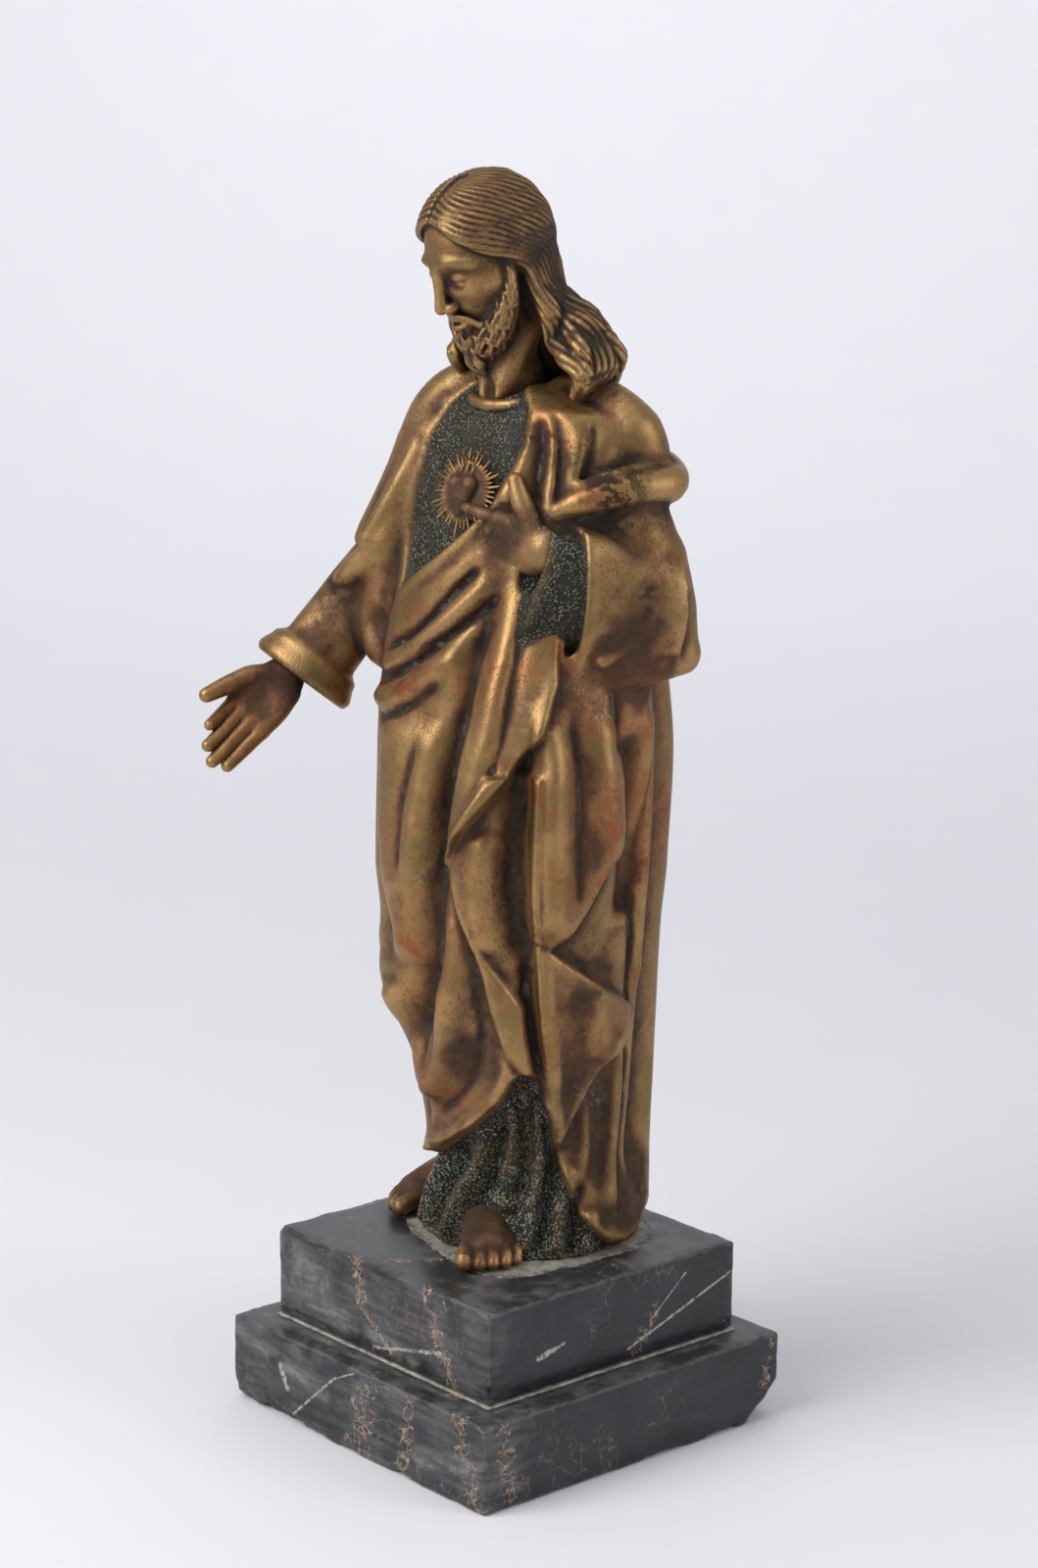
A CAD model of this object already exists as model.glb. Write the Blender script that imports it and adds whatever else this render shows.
"""A worn cast brass figure of a robed, bearded man on a stepped marble plinth, laid out as an add-on.

The figure and the stones are sculpted as distance fields, each meshed once. Node materials colour
them, and read from the mesh how hollow or how raised each spot is and which cloth it belongs to.
"""

import math
from collections import namedtuple
from functools import lru_cache

import bpy
import numpy as np
from mathutils import Matrix, Vector


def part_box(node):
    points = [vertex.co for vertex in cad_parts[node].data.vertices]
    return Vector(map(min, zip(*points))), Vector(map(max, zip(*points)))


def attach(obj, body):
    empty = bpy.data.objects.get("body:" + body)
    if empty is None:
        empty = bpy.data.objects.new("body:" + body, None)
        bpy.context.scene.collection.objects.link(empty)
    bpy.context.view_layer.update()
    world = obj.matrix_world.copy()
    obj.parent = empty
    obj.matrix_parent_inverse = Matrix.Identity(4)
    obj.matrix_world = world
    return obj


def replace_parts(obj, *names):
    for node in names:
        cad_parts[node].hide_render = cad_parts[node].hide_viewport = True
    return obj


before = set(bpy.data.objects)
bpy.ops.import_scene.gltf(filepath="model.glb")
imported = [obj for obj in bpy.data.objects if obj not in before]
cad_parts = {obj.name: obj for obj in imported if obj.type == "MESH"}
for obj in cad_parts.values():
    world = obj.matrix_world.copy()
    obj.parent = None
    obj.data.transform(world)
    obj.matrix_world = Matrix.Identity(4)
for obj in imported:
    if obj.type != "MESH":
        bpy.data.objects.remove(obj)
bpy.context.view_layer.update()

bl_info = {
    "name": "Cast Figure on Marble Plinth",
    "version": (1, 0, 0),
    "blender": (4, 5, 0),
    "location": "3D View > Sidebar > Statuette",
    "description": "Sculpts a worn brass figure on a stepped marble plinth and colours it with nodes",
    "category": "Add Mesh",
}

MILLIMETRE = 0.001

# The figure is sculpted in its own design frame: 432 units tall, standing on z 0, facing -Y, with
# its own left hand towards +X. These are the units that the sizes below are given in.
DESIGN_HEIGHT = 432.0
CAST_HEIGHT = 430.8


# Distance fields.

def soft_min(a, b, k):
    """The smaller of two distances, with a fillet of about the size k between two shapes."""
    overlap = np.maximum(k - np.abs(a - b), 0) / k
    return np.minimum(a, b) - overlap * overlap * (k * 0.25)


def smooth(x, low, high):
    """Rises from 0 at low to 1 at high along an S."""
    t = np.clip((x - low) / (high - low), 0, 1)
    return t * t * (3 - 2 * t)


def mix(a, b, t):
    return a + (b - a) * t


def smooth_line(points, steps=5):
    """A centripetal Catmull-Rom curve through rows whose first three values are the place."""
    rows = np.array(points, float)
    rows = np.vstack([2 * rows[0] - rows[1], rows, 2 * rows[-1] - rows[-2]])
    line = []
    for k in range(1, len(rows) - 2):
        a, b, c, d = rows[k - 1:k + 3]
        gaps = [max(np.sum((q - p)[:3] ** 2) ** 0.25, 1e-4) for p, q in ((a, b), (b, c), (c, d))]
        leave = ((b - a) / gaps[0] - (c - a) / (gaps[0] + gaps[1]) + (c - b) / gaps[1]) * gaps[1]
        arrive = ((c - b) / gaps[1] - (d - b) / (gaps[1] + gaps[2]) + (d - c) / gaps[2]) * gaps[1]
        for t in np.arange(steps) / steps:
            place = b + leave * t + (3 * (c - b) - 2 * leave - arrive) * t ** 2
            place = place + (2 * (b - c) + leave + arrive) * t ** 3
            place[3:] = b[3:] + (c[3:] - b[3:]) * t
            line.append(place)
    line.append(rows[-2])
    return np.array(line)


FAR = 1000.0


class Piece:
    """One distance function, and the box that holds its shape."""

    def __init__(self, low, high, distance):
        self.low = np.array(low, float)
        self.high = np.array(high, float)
        self.distance = distance


class Shape:
    """A hard union of pieces."""

    def __init__(self, pieces):
        self.pieces = pieces
        self.low = np.min([piece.low for piece in pieces], axis=0)
        self.high = np.max([piece.high for piece in pieces], axis=0)

    def at(self, points, reach):
        best = np.full(len(points), FAR, np.float32)
        for piece in self.pieces:
            near = np.all((points > piece.low - reach) & (points < piece.high + reach), axis=1)
            chosen = np.flatnonzero(near)
            if len(chosen):
                best[chosen] = np.minimum(best[chosen], piece.distance(points[chosen]))
        return best


def links(line):
    """The pieces of a round bar along rows of x, y, z, radius."""
    made = []
    for a, b in zip(line[:-1], line[1:]):
        way = (b - a)[:3]
        square = max(float(way @ way), 1e-9)

        def distance(points, a=a, b=b, way=way, square=square):
            from_a = points - a[:3]
            t = np.clip(from_a @ way / square, 0, 1)
            gap = from_a - t[:, None] * way
            return np.sqrt(np.sum(gap * gap, axis=1)) - a[3] - t * (b[3] - a[3])

        radius = max(a[3], b[3])
        made.append(Piece(np.minimum(a, b)[:3] - radius, np.maximum(a, b)[:3] + radius, distance))
    return made


def tube(points, steps=5):
    return Shape(links(smooth_line(points, steps)))


def egg(centre, radii, axes=np.eye(3)):
    """An ellipsoid whose radii lie along the rows of axes."""
    centre = np.array(centre, float)
    radii = np.array(radii, float)

    def distance(points):
        local = (points - centre) @ axes.T / radii
        k0 = np.sqrt(np.sum(local * local, axis=1))
        k1 = np.sqrt(np.sum((local / radii) ** 2, axis=1))
        return np.where(k0 < 1e-4, -radii.min(), k0 * (k0 - 1) / np.maximum(k1, 1e-6))

    reach = np.sqrt((np.abs(axes.T) ** 2) @ (radii ** 2))
    return Shape([Piece(centre - reach, centre + reach, distance)])


SLEEVE_EDGE = 1.4


def sleeve(start, end, side, profile):
    """An oval sleeve with flat ends. A row of its profile is its share of the length, its half width
    along side and its half width across."""
    start = np.array(start, float)
    end = np.array(end, float)
    length = np.linalg.norm(end - start)
    axis = (end - start) / length
    wide = np.array(side, float) - np.dot(side, axis) * axis
    wide /= np.linalg.norm(wide)
    thin = np.cross(axis, wide)
    rows = np.array(profile, float)

    def along(share, column):
        k = np.clip(np.searchsorted(rows[:, 0], share, side="left") - 1, 0, len(rows) - 2)
        t = smooth(share, rows[k, 0], rows[k + 1, 0])
        return mix(rows[k, column], rows[k + 1, column], t)

    def distance(points):
        local = points - start
        height = local @ axis
        share = np.clip(height / length, 0, 1)
        half_wide = along(share, 1)
        half_thin = along(share, 2)
        w = local @ wide / half_wide
        t = local @ thin / half_thin
        k0 = np.sqrt(w * w + t * t)
        k1 = np.sqrt((w / half_wide) ** 2 + (t / half_thin) ** 2)
        around = np.where(k0 < 1e-4, -1.0, k0 * (k0 - 1) / np.maximum(k1, 1e-6))
        return -soft_min(-np.maximum(around, -height), length - height, SLEEVE_EDGE)

    reach = rows[:, 1:].max()
    return Shape([Piece(np.minimum(start, end) - reach, np.maximum(start, end) + reach, distance)])


class Sculpture:
    """Shapes added or carved one after another, each with its own softness."""

    def __init__(self):
        self.steps = []

    def add(self, shape, soft=1.0):
        self.steps.append((shape, soft, 1))

    def carve(self, shape, soft=1.0):
        self.steps.append((shape, soft, -1))

    def at(self, points, reach=2.0):
        """The distance from each point to the surface, below zero inside."""
        best = np.full(len(points), FAR, np.float32)
        for shape, soft, sign in self.steps:
            near = (points > shape.low - reach - soft) & (points < shape.high + reach + soft)
            chosen = np.flatnonzero(np.all(near, axis=1))
            if len(chosen):
                found = shape.at(points[chosen], reach + soft)
                best[chosen] = sign * soft_min(sign * best[chosen], found, soft)
        return best

    def on_grid(self, low, cell, counts):
        """The same distances on a whole grid, each piece worked out only near itself."""
        values = np.full(counts, FAR, np.float32)
        for shape, soft, sign in self.steps:
            reach = soft + 2 * cell
            block, first, size = grid_block(shape, reach, low, cell, counts)
            if min(size) <= 0:
                continue
            found = np.full(size, FAR, np.float32)
            for piece in shape.pieces:
                _, start, extent = grid_block(piece, reach, low, cell, counts)
                if min(extent) <= 0:
                    continue
                ranges = [low[k] + cell * np.arange(start[k], start[k] + extent[k]) for k in range(3)]
                points = np.stack(np.meshgrid(*ranges, indexing="ij"), axis=-1).reshape(-1, 3)
                inner = tuple(slice(s - f, s - f + e) for s, f, e in zip(start, first, extent))
                distances = piece.distance(points).reshape(extent)
                found[inner] = np.minimum(found[inner], distances)
            values[block] = sign * soft_min(sign * values[block], found, soft)
        return values


def grid_block(shape, reach, low, cell, counts):
    """The part of a grid within reach of a shape: its slices, first index and size."""
    first = np.clip(np.floor((shape.low - reach - low) / cell), 0, counts).astype(int)
    last = np.clip(np.ceil((shape.high + reach - low) / cell) + 1, 0, counts).astype(int)
    return tuple(slice(a, b) for a, b in zip(first, last)), first, np.maximum(last - first, 0)


def surface_net(values):
    """A closed mesh of quads where grid values cross zero, with one vertex in each crossed cell."""
    cells = np.array(values.shape) - 1
    rings = []
    crossings = []
    for axis in range(3):
        across = ((axis + 1) % 3, (axis + 2) % 3)
        first = np.take(values, np.arange(values.shape[axis] - 1), axis=axis)
        second = np.take(values, np.arange(1, values.shape[axis]), axis=axis)
        at = np.argwhere((first < 0) != (second < 0))
        a = first[tuple(at.T)]
        b = second[tuple(at.T)]
        place = at.astype(np.float64)
        place[:, axis] += a / (a - b)
        ring = []
        for db, dc in ((0, 0), (-1, 0), (-1, -1), (0, -1)):
            cell_at = at.copy()
            cell_at[:, across[0]] += db
            cell_at[:, across[1]] += dc
            ring.append(np.ravel_multi_index(cell_at.T, cells))
        ring = np.stack(ring, axis=1)
        ring[a >= 0] = ring[a >= 0][:, ::-1]
        rings.append(ring)
        crossings.append(np.repeat(place, 4, axis=0))
    rings = np.concatenate(rings)
    crossings = np.concatenate(crossings)
    owner = np.unique(rings, return_inverse=True)[1].reshape(-1)
    count = np.bincount(owner)
    places = np.stack([np.bincount(owner, weights=crossings[:, k]) / count for k in range(3)], axis=1)
    return places, owner.reshape(-1, 4)


# The robes.

Fold = namedtuple("Fold", "path width rise crease", defaults=(False,))
Panel = namedtuple("Panel", "outline rise edge fade ringed stippled", defaults=(None, False, False))

# The robes' outline: height above the plinth, then how far they reach to the figure's right,
# left, front and back.
ROBE_SECTIONS = [
    (0, -47, 48, -34, 60),
    (20, -42, 46, -32, 59),
    (40, -32, 45, -30, 57),
    (72, -37, 50, -34, 55),
    (108, -50, 56, -45, 55),
    (132, -51, 57, -46, 56),
    (156, -56, 60, -50, 58),
    (204, -57, 62, -50, 59),
    (240, -55, 59, -47, 56),
    (276, -53, 56, -38, 50),
    (305, -55, 56, -31, 44),
    (328, -54, 55, -25, 38),
    (340, -44, 46, -19, 30),
    (346, -27, 29, -15, 21),
    (352, -14, 15, -10, 15),
]
ROBE_TOP = 350
# Seen from above, the robes lie within these two corners.
ROBE_LOW = (-70, -70)
ROBE_HIGH = (76, 72)
ROBE_SQUARENESS = 2.25
CLOTH_PER_DEGREE = 0.9
CREASE_ROUNDING = 0.16
ANGLE_STEPS = 720
HEIGHT_STEP = 0.6
HEAD_OF_FOLD = (-0.02, 0.14)
FOOT_OF_FOLD = (0.9, 1.04)
# Folds and creases fade out at these many times their width.
FOLD_REACH = 2.6
CREASE_REACH = 2.5
CREASE_SHARPNESS = 1.6
SECTION_EASE = 0.8

# Folds are drawn on the cloth as paths of (angle, height): the angle in degrees from the front
# towards the figure's left. A negative rise is a valley, and a crease has a sharp middle.
FOLDS = [
    # Mantle over the left side of the chest.
    Fold([(58, 340), (55, 322), (52, 307)], 3.8, -4, True),
    Fold([(65, 342), (63, 320), (61, 303)], 3.8, -3.4, True),
    Fold([(82, 338), (74, 322), (68, 306)], 3.8, -3.4, True),
    Fold([(61, 340), (59, 320), (56, 302)], 3, 2.4),
    Fold([(72, 340), (68, 320), (64, 302)], 4, 2.4),
    Fold([(50, 338), (44, 320), (36, 306)], 3.4, 2.2),
    Fold([(40, 322), (30, 306), (6, 289), (-18, 275), (-36, 264)], 4, 2.6),
    # Rolls across the waist.
    Fold([(26, 282), (14, 274), (2, 264), (-13, 253), (-34, 243)], 3.8, -4.6, True),
    Fold([(37, 272), (22, 262), (5, 250), (-12, 240), (-34, 231)], 3.8, -4.4, True),
    Fold([(32, 277), (18, 268), (3, 257), (-13, 246), (-36, 237)], 5, 3.6),
    Fold([(34, 294), (16, 282), (0, 272), (-16, 262), (-36, 253)], 6, 2.4),
    Fold([(24, 254), (2, 238), (-16, 228), (-40, 224)], 6, 4),
    Fold([(12, 238), (-6, 226), (-24, 218), (-44, 214)], 4, -3, True),
    # The long valley from the waist down between the right leg and the hanging end.
    Fold([(38, 284), (31, 254), (25, 232), (18, 212), (15, 187), (12, 165), (9, 142), (6, 124),
          (-3, 102), (-24, 84)], 7, -9),
    Fold([(24, 252), (20, 232), (11, 206), (4, 180), (0, 156)], 6, 3.4),
    Fold([(-8, 226), (-12, 190), (-13, 150), (-12, 120)], 26, 5),
    Fold([(-34, 226), (-37, 190), (-31, 150), (-20, 118)], 8, -4),
    Fold([(2, 216), (-6, 186), (-8, 160)], 4, -2, True),
    Fold([(18, 156), (19, 128), (14, 104), (3, 84), (-14, 64)], 7, 5),
    Fold([(30, 122), (31, 104), (24, 86), (10, 70), (-8, 58)], 4, -2.4, True),
    Fold([(8, 112), (4, 94), (-10, 74)], 5, -1.6, True),
    Fold([(-22, 112), (-16, 86), (-14, 62)], 8, 4.5),
    Fold([(-6, 92), (-14, 70), (-24, 52)], 5, -1.8, True),
    # The hanging end of the mantle under the left hand.
    Fold([(42, 278), (38, 258), (36, 240), (36, 222), (31, 200), (22, 174)], 6.5, 4),
    Fold([(47, 262), (44, 240), (41, 220), (36, 202)], 4, -3, True),
    Fold([(61, 246), (48, 215), (34, 195), (21, 177)], 2.6, 1.8),
    Fold([(29, 252), (27, 234), (24, 210), (18, 186)], 3, 2.2),
    # The hollow below it, and the tube fold beside.
    Fold([(51, 222), (47, 190), (46, 162), (48, 128)], 6, -7),
    Fold([(36, 182), (33, 160), (34, 132)], 5, 3.6),
    Fold([(56, 236), (57, 200), (58, 170), (59, 137)], 6.6, 6.5),
    Fold([(66, 230), (68, 200), (69, 176), (70, 152)], 3.4, -2.6, True),
    Fold([(79, 230), (78, 205), (80, 186), (84, 168)], 6, 3),
    Fold([(93, 220), (96, 190), (98, 166), (97, 142)], 7, -8),
    Fold([(104, 230), (107, 190), (108, 150), (106, 110)], 5, 2.6),
    Fold([(82, 248), (87, 230), (85, 210)], 4, -3.6, True),
    # The valley between the legs and the sharp fold beside it.
    Fold([(48, 134), (50.5, 112), (50, 90), (48, 68)], 5, -6, True),
    Fold([(56.5, 132), (58, 105), (57, 80), (56, 54)], 2.8, 2.4),
    Fold([(70, 118), (70, 100), (66, 82), (61, 66)], 7, -1.8),
    Fold([(80, 116), (81, 104), (78, 86)], 5, 2),
    Fold([(40, 104), (37, 82), (28, 68), (12, 57), (-6, 47), (-30, 42)], 3, 2.6),
    # Mantle over the left leg, and its side.
    Fold([(112, 232), (103, 150), (101, 80), (100, 10)], 5, -4.6, True),
    Fold([(90, 98), (93, 60), (91, 16)], 7, 3.4),
    Fold([(84, 84), (86, 52), (84, 26)], 5, -2, True),
    Fold([(70, 74), (73, 50), (70, 32)], 4, 2.6),
    # The robe's skirt below the mantle.
    Fold([(17, 60), (4, 28), (-8, 2)], 4.5, 4),
    Fold([(48, 72), (46, 34), (46, 2)], 3.6, 3.6),
    Fold([(63, 42), (62, 20), (61, 2)], 4.5, 3.6),
    Fold([(40, 76), (39, 42), (38, 20)], 4, -4),
    Fold([(55, 52), (54, 28), (53, 2)], 4.4, -5, True),
    Fold([(28, 62), (20, 34), (12, 6)], 5, -5.4, True),
    Fold([(72, 32), (71, 14), (70, 1)], 5, -4.6, True),
    Fold([(79, 20), (79, 10), (79, 1)], 4, 3),
    Fold([(18, 31), (31, 27), (46, 30)], 3.4, -3, True),
    Fold([(20, 22), (32, 18), (46, 21)], 3.4, -3, True),
    Fold([(2, 46), (-14, 22), (-22, 2)], 5, -5, True),
    Fold([(-20, 42), (-29, 20), (-34, 2)], 5.5, 4),
    Fold([(-38, 40), (-44, 20), (-48, 2)], 5, -4, True),
    Fold([(-54, 38), (-58, 20), (-62, 2)], 5, 3),
    Fold([(33, 70), (30, 52), (26, 34)], 3.6, 2.6),
    Fold([(18, 40), (32, 36), (45, 40)], 2.6, 2.4),
    Fold([(20, 27), (32, 22), (45, 25)], 2.6, 2.4),
]

# The back is plainer: long folds that fan out from the shoulders to the hem, each given by its
# top, its foot, and its rise.
BACK_FOLDS = [
    ((122, 300), (118, 14), -5),
    ((140, 322), (138, 14), 2),
    ((152, 326), (152, 14), -6.5),
    ((168, 330), (166, 16), 2.4),
    ((182, 330), (181, 18), -6.5),
    ((196, 328), (197, 20), 2.4),
    ((209, 322), (214, 24), -6),
    ((222, 312), (231, 28), 2.4),
    ((234, 296), (247, 32), -5.6),
    ((247, 276), (263, 36), 2.4),
    ((260, 256), (278, 40), -5),
    ((276, 244), (292, 46), 2.6),
    ((294, 236), (307, 60), -4.4),
]
BACK_FOLD_WIDTH = 8
BACK_FOLD_SWAY = 3

# Panels are whole layers of cloth, raised or sunk inside an outline of (angle, height). One with a
# fade merges into the cloth above between its two heights. A ringed one goes all the way round,
# and its last points only close it below.
PANELS = [
    # The robe seen in the opening of the mantle on the chest.
    Panel([(54, 356), (46, 330), (38, 318), (28, 305), (5, 290), (-5, 284), (-20, 276), (-38, 266),
           (-43, 290), (-42, 320), (-46, 356)], -4.4, 1.6, stippled=True),
    # The robe's skirt below the mantle's hem.
    Panel([(-70, 33), (-40, 33), (-12, 40), (3, 49), (18, 58), (31, 69), (38, 78), (44, 82), (50, 76),
           (53, 60), (54.5, 45), (61.5, 34), (73, 18), (83, 9), (92, 3.5), (104, 2), (115, 4), (128, 10),
           (160, 16), (200, 18), (250, 26), (290, 35), (290, -20), (-70, -20)],
          -4.6, 1.1, ringed=True, stippled=True),
    # The hanging end of the mantle.
    Panel([(31, 256), (29, 240), (25, 213), (21, 190), (16, 164), (24, 176), (33, 189), (45, 206),
           (55, 223), (61, 240), (62, 272), (40, 285)], 6.4, 1.2, fade=(268, 232)),
    # The layer of the cascade that turns back from its tip.
    Panel([(17, 166), (22, 153), (28, 137), (33, 122), (37, 106), (40, 90), (43, 82), (48, 72), (53, 62),
           (55, 84), (56, 110), (54, 140), (54, 205), (36, 205), (24, 180)], 4.2, 1.2),
    # The tube fold and the cloth to its left.
    Panel([(51, 240), (50.8, 165), (52, 139), (59, 135), (67.5, 141), (74, 150), (82, 165), (90, 181),
           (89, 198), (86, 218), (80, 245)], 5, 1.1, fade=(238, 200)),
    # The lower turn of the cascade.
    Panel([(53, 139), (64, 130), (76, 122), (90, 113), (105, 104), (101, 98), (90, 89), (80, 81),
           (69, 68), (62, 56), (55, 46), (53.5, 60), (54.5, 82), (55, 107)], 4.4, 1.2),
    # The hem that hangs over the right leg.
    Panel([(18, 158), (34, 130), (50, 112), (49, 80), (44, 82), (38, 78), (31, 69), (18, 58), (3, 49),
           (-12, 40), (-40, 33), (-60, 33), (-90, 60), (-90, 190), (0, 190)], 4.4, 1.2, fade=(160, 104)),
]


def turn(angle):
    """An angle in degrees, taken the short way round."""
    return angle - 360 * np.round(angle / 360)


def cloth_gap(angle, height, a, b):
    """How far spots of the cloth lie from a segment, and the share of it they lie beside."""
    across = turn(b[0] - a[0]) * CLOTH_PER_DEGREE
    up = b[1] - a[1]
    beside = turn(angle - a[0]) * CLOTH_PER_DEGREE
    above = height - a[1]
    t = np.clip((beside * across + above * up) / max(across * across + up * up, 1e-9), 0, 1)
    return np.hypot(beside - t * across, above - t * up), t


class Robes:
    """The draped body: a radius for each height and angle round a leaning middle line."""

    def __init__(self):
        self.rows = int(ROBE_TOP / HEIGHT_STEP) + 8
        self.heights = np.arange(self.rows) * HEIGHT_STEP
        self.angles = turn(np.arange(ANGLE_STEPS) * 360 / ANGLE_STEPS)
        self.relief = np.zeros((self.rows, ANGLE_STEPS), np.float32)
        self.stippled = np.zeros_like(self.relief)
        for fold in FOLDS:
            self.lay_fold(fold)
        for top, foot, rise in BACK_FOLDS:
            sway = BACK_FOLD_SWAY * math.copysign(1, rise)
            middle = ((top[0] + foot[0]) / 2 + sway, (top[1] + foot[1]) / 2)
            self.lay_fold(Fold([top, middle, foot], BACK_FOLD_WIDTH, rise))
        for panel in PANELS:
            self.lay_panel(panel)
        self.drape()

    def window(self, line, reach):
        """The rows and columns of the cloth within reach of a line."""
        low, high = line[:, 1].min() - reach, line[:, 1].max() + reach
        rows = np.flatnonzero((self.heights >= low) & (self.heights <= high))
        middle = line[len(line) // 2, 0]
        span = np.abs(line[:, 0] - middle).max() + reach / CLOTH_PER_DEGREE
        columns = np.flatnonzero((np.abs(turn(self.angles - middle)) <= span) | (span >= 180))
        return rows, columns, self.angles[columns][None, :], self.heights[rows][:, None]

    def lay_fold(self, fold):
        """Adds one fold to the relief, fading out towards its two ends."""
        line = smooth_line([(angle, height, 0) for angle, height in fold.path])[:, :2]
        rows, columns, angle, height = self.window(line, fold.width * FOLD_REACH)
        best = np.full((len(rows), len(columns)), FAR)
        share = np.zeros_like(best)
        for k in range(len(line) - 1):
            gap, t = cloth_gap(angle, height, line[k], line[k + 1])
            nearer = gap < best
            best = np.where(nearer, gap, best)
            share = np.where(nearer, (k + t) / (len(line) - 1), share)
        x = best / fold.width
        if fold.crease:
            sharp = np.hypot(x, CREASE_ROUNDING) - CREASE_ROUNDING
            form = np.exp(-CREASE_SHARPNESS * sharp) * np.maximum(1 - x / CREASE_REACH, 0)
        else:
            form = np.exp(-x * x)
        ends = smooth(share, *HEAD_OF_FOLD) * (1 - smooth(share, *FOOT_OF_FOLD))
        self.relief[np.ix_(rows, columns)] += fold.rise * form * ends

    def lay_panel(self, panel):
        """Adds one layer of cloth to the relief, with a step along its outline."""
        line = np.array([*panel.outline, panel.outline[0]], float)
        seen = len(line) - (4 if panel.ringed else 1)
        rows, columns, angle, height = self.window(line, panel.edge * 2)
        middle = (line[:, 0].min() + line[:, 0].max()) / 2
        around = middle + turn(angle - middle)
        best = np.full((len(rows), len(columns)), FAR)
        inside = np.zeros(best.shape, bool)
        for k, (a, b) in enumerate(zip(line[:-1], line[1:])):
            if k < seen:
                best = np.minimum(best, cloth_gap(angle, height, a, b)[0])
            if a[1] != b[1]:
                crossing = (a[1] > height) != (b[1] > height)
                edge = a[0] + (height - a[1]) / (b[1] - a[1]) * (b[0] - a[0])
                inside ^= crossing & (around < edge)
        depth = smooth(np.where(inside, best, -best), -panel.edge, panel.edge)
        if panel.fade:
            depth = depth * (1 - smooth(height, panel.fade[1], panel.fade[0]))
        self.relief[np.ix_(rows, columns)] += panel.rise * depth
        if panel.stippled:
            self.stippled[np.ix_(rows, columns)] += depth

    def drape(self):
        """Wraps the relief round the outline."""
        sections = np.array(ROBE_SECTIONS, float)
        reach = section_curve(sections, self.heights)
        right, left, front, back = reach.T
        self.middle = np.stack([(right + left) / 2, (front + back) / 2], axis=1)
        angle = np.radians(self.angles)[None, :]
        a = np.abs(np.sin(angle) / ((left - right) / 2)[:, None]) ** ROBE_SQUARENESS
        b = np.abs(np.cos(angle) / ((back - front) / 2)[:, None]) ** ROBE_SQUARENESS
        self.radius = ((a + b) ** (-1 / ROBE_SQUARENESS) + self.relief).astype(np.float32)

    def spot(self, points):
        """Where points fall on the cloth: row, column, and how far they lie from the middle line."""
        row = np.clip(points[:, 2] / HEIGHT_STEP, 0, self.rows - 1.001)
        j = row.astype(int)
        middle = mix(self.middle[j], self.middle[j + 1], (row - j)[:, None])
        away = points[:, :2] - middle
        column = np.degrees(np.arctan2(away[:, 0], -away[:, 1])) % 360 * (ANGLE_STEPS / 360)
        return row, column, np.hypot(away[:, 0], away[:, 1])

    def read(self, raster, row, column):
        """A raster's values at fractional rows and columns."""
        j = row.astype(int)
        i = column.astype(int) % ANGLE_STEPS
        beside = (i + 1) % ANGLE_STEPS
        s = column - np.floor(column)
        below = mix(raster[j, i], raster[j, beside], s)
        above = mix(raster[j + 1, i], raster[j + 1, beside], s)
        return mix(below, above, row - j)

    def shape(self):
        def distance(points):
            row, column, away = self.spot(points)
            return np.maximum(away - self.read(self.radius, row, column), points[:, 2] - ROBE_TOP)

        return Shape([Piece((*ROBE_LOW, -FAR), (*ROBE_HIGH, ROBE_TOP), distance)])


def section_curve(sections, heights):
    """The four reaches of the robes at each height, along a smooth curve through the sections."""
    z = sections[:, 0]
    k = np.clip(np.searchsorted(z, heights, side="left") - 1, 0, len(z) - 2)
    t = np.clip((heights - z[k]) / (z[k + 1] - z[k]), 0, 1)[:, None]
    values = sections[:, 1:]
    before = values[np.maximum(k - 1, 0)]
    a = values[k]
    b = values[k + 1]
    after = values[np.minimum(k + 2, len(z) - 1)]
    bend = (b - before) / 2 * (t ** 3 - 2 * t ** 2 + t) + (after - a) / 2 * (t ** 3 - t ** 2)
    return a * (2 * t ** 3 - 3 * t ** 2 + 1) + b * (3 * t ** 2 - 2 * t ** 3) + SECTION_EASE * bend


# The body, its sleeves and collar.

RIGHT_CUFF_SIDE = (0.63, 0.39, -0.55)
LEFT_SLEEVE_SIDE = (0.18, 0.03, 1)
LEFT_CUFF_SIDE = (0.22, -0.02, 1)
LEFT_CUFF_ENDS = ((61, 8, 265), (42, -27.5, 276))
LEFT_CUFF = [(0, 20, 9.5), (0.6, 21.5, 9), (0.88, 22, 8.6), (1, 23.5, 9.4)]
LEFT_CUFF_LOBES = [[(37, -20, 276, 6), (38, -23.5, 264, 7.5), (39.5, -24, 252, 8), (41, -22, 240, 6)],
                   [(41, -21, 243, 6), (46, -16, 244, 6.5)]]
COLLAR = {"middle": (2, 1, 346.5), "side": 20, "front": 17.5, "drop": 5.5, "radius": 2.5, "points": 13}


def sculpt_body(robes):
    body = Sculpture()
    body.add(robes.shape())
    sculpt_left_arm(body)
    sculpt_right_arm(body)
    sculpt_collar(body)
    return body


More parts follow.
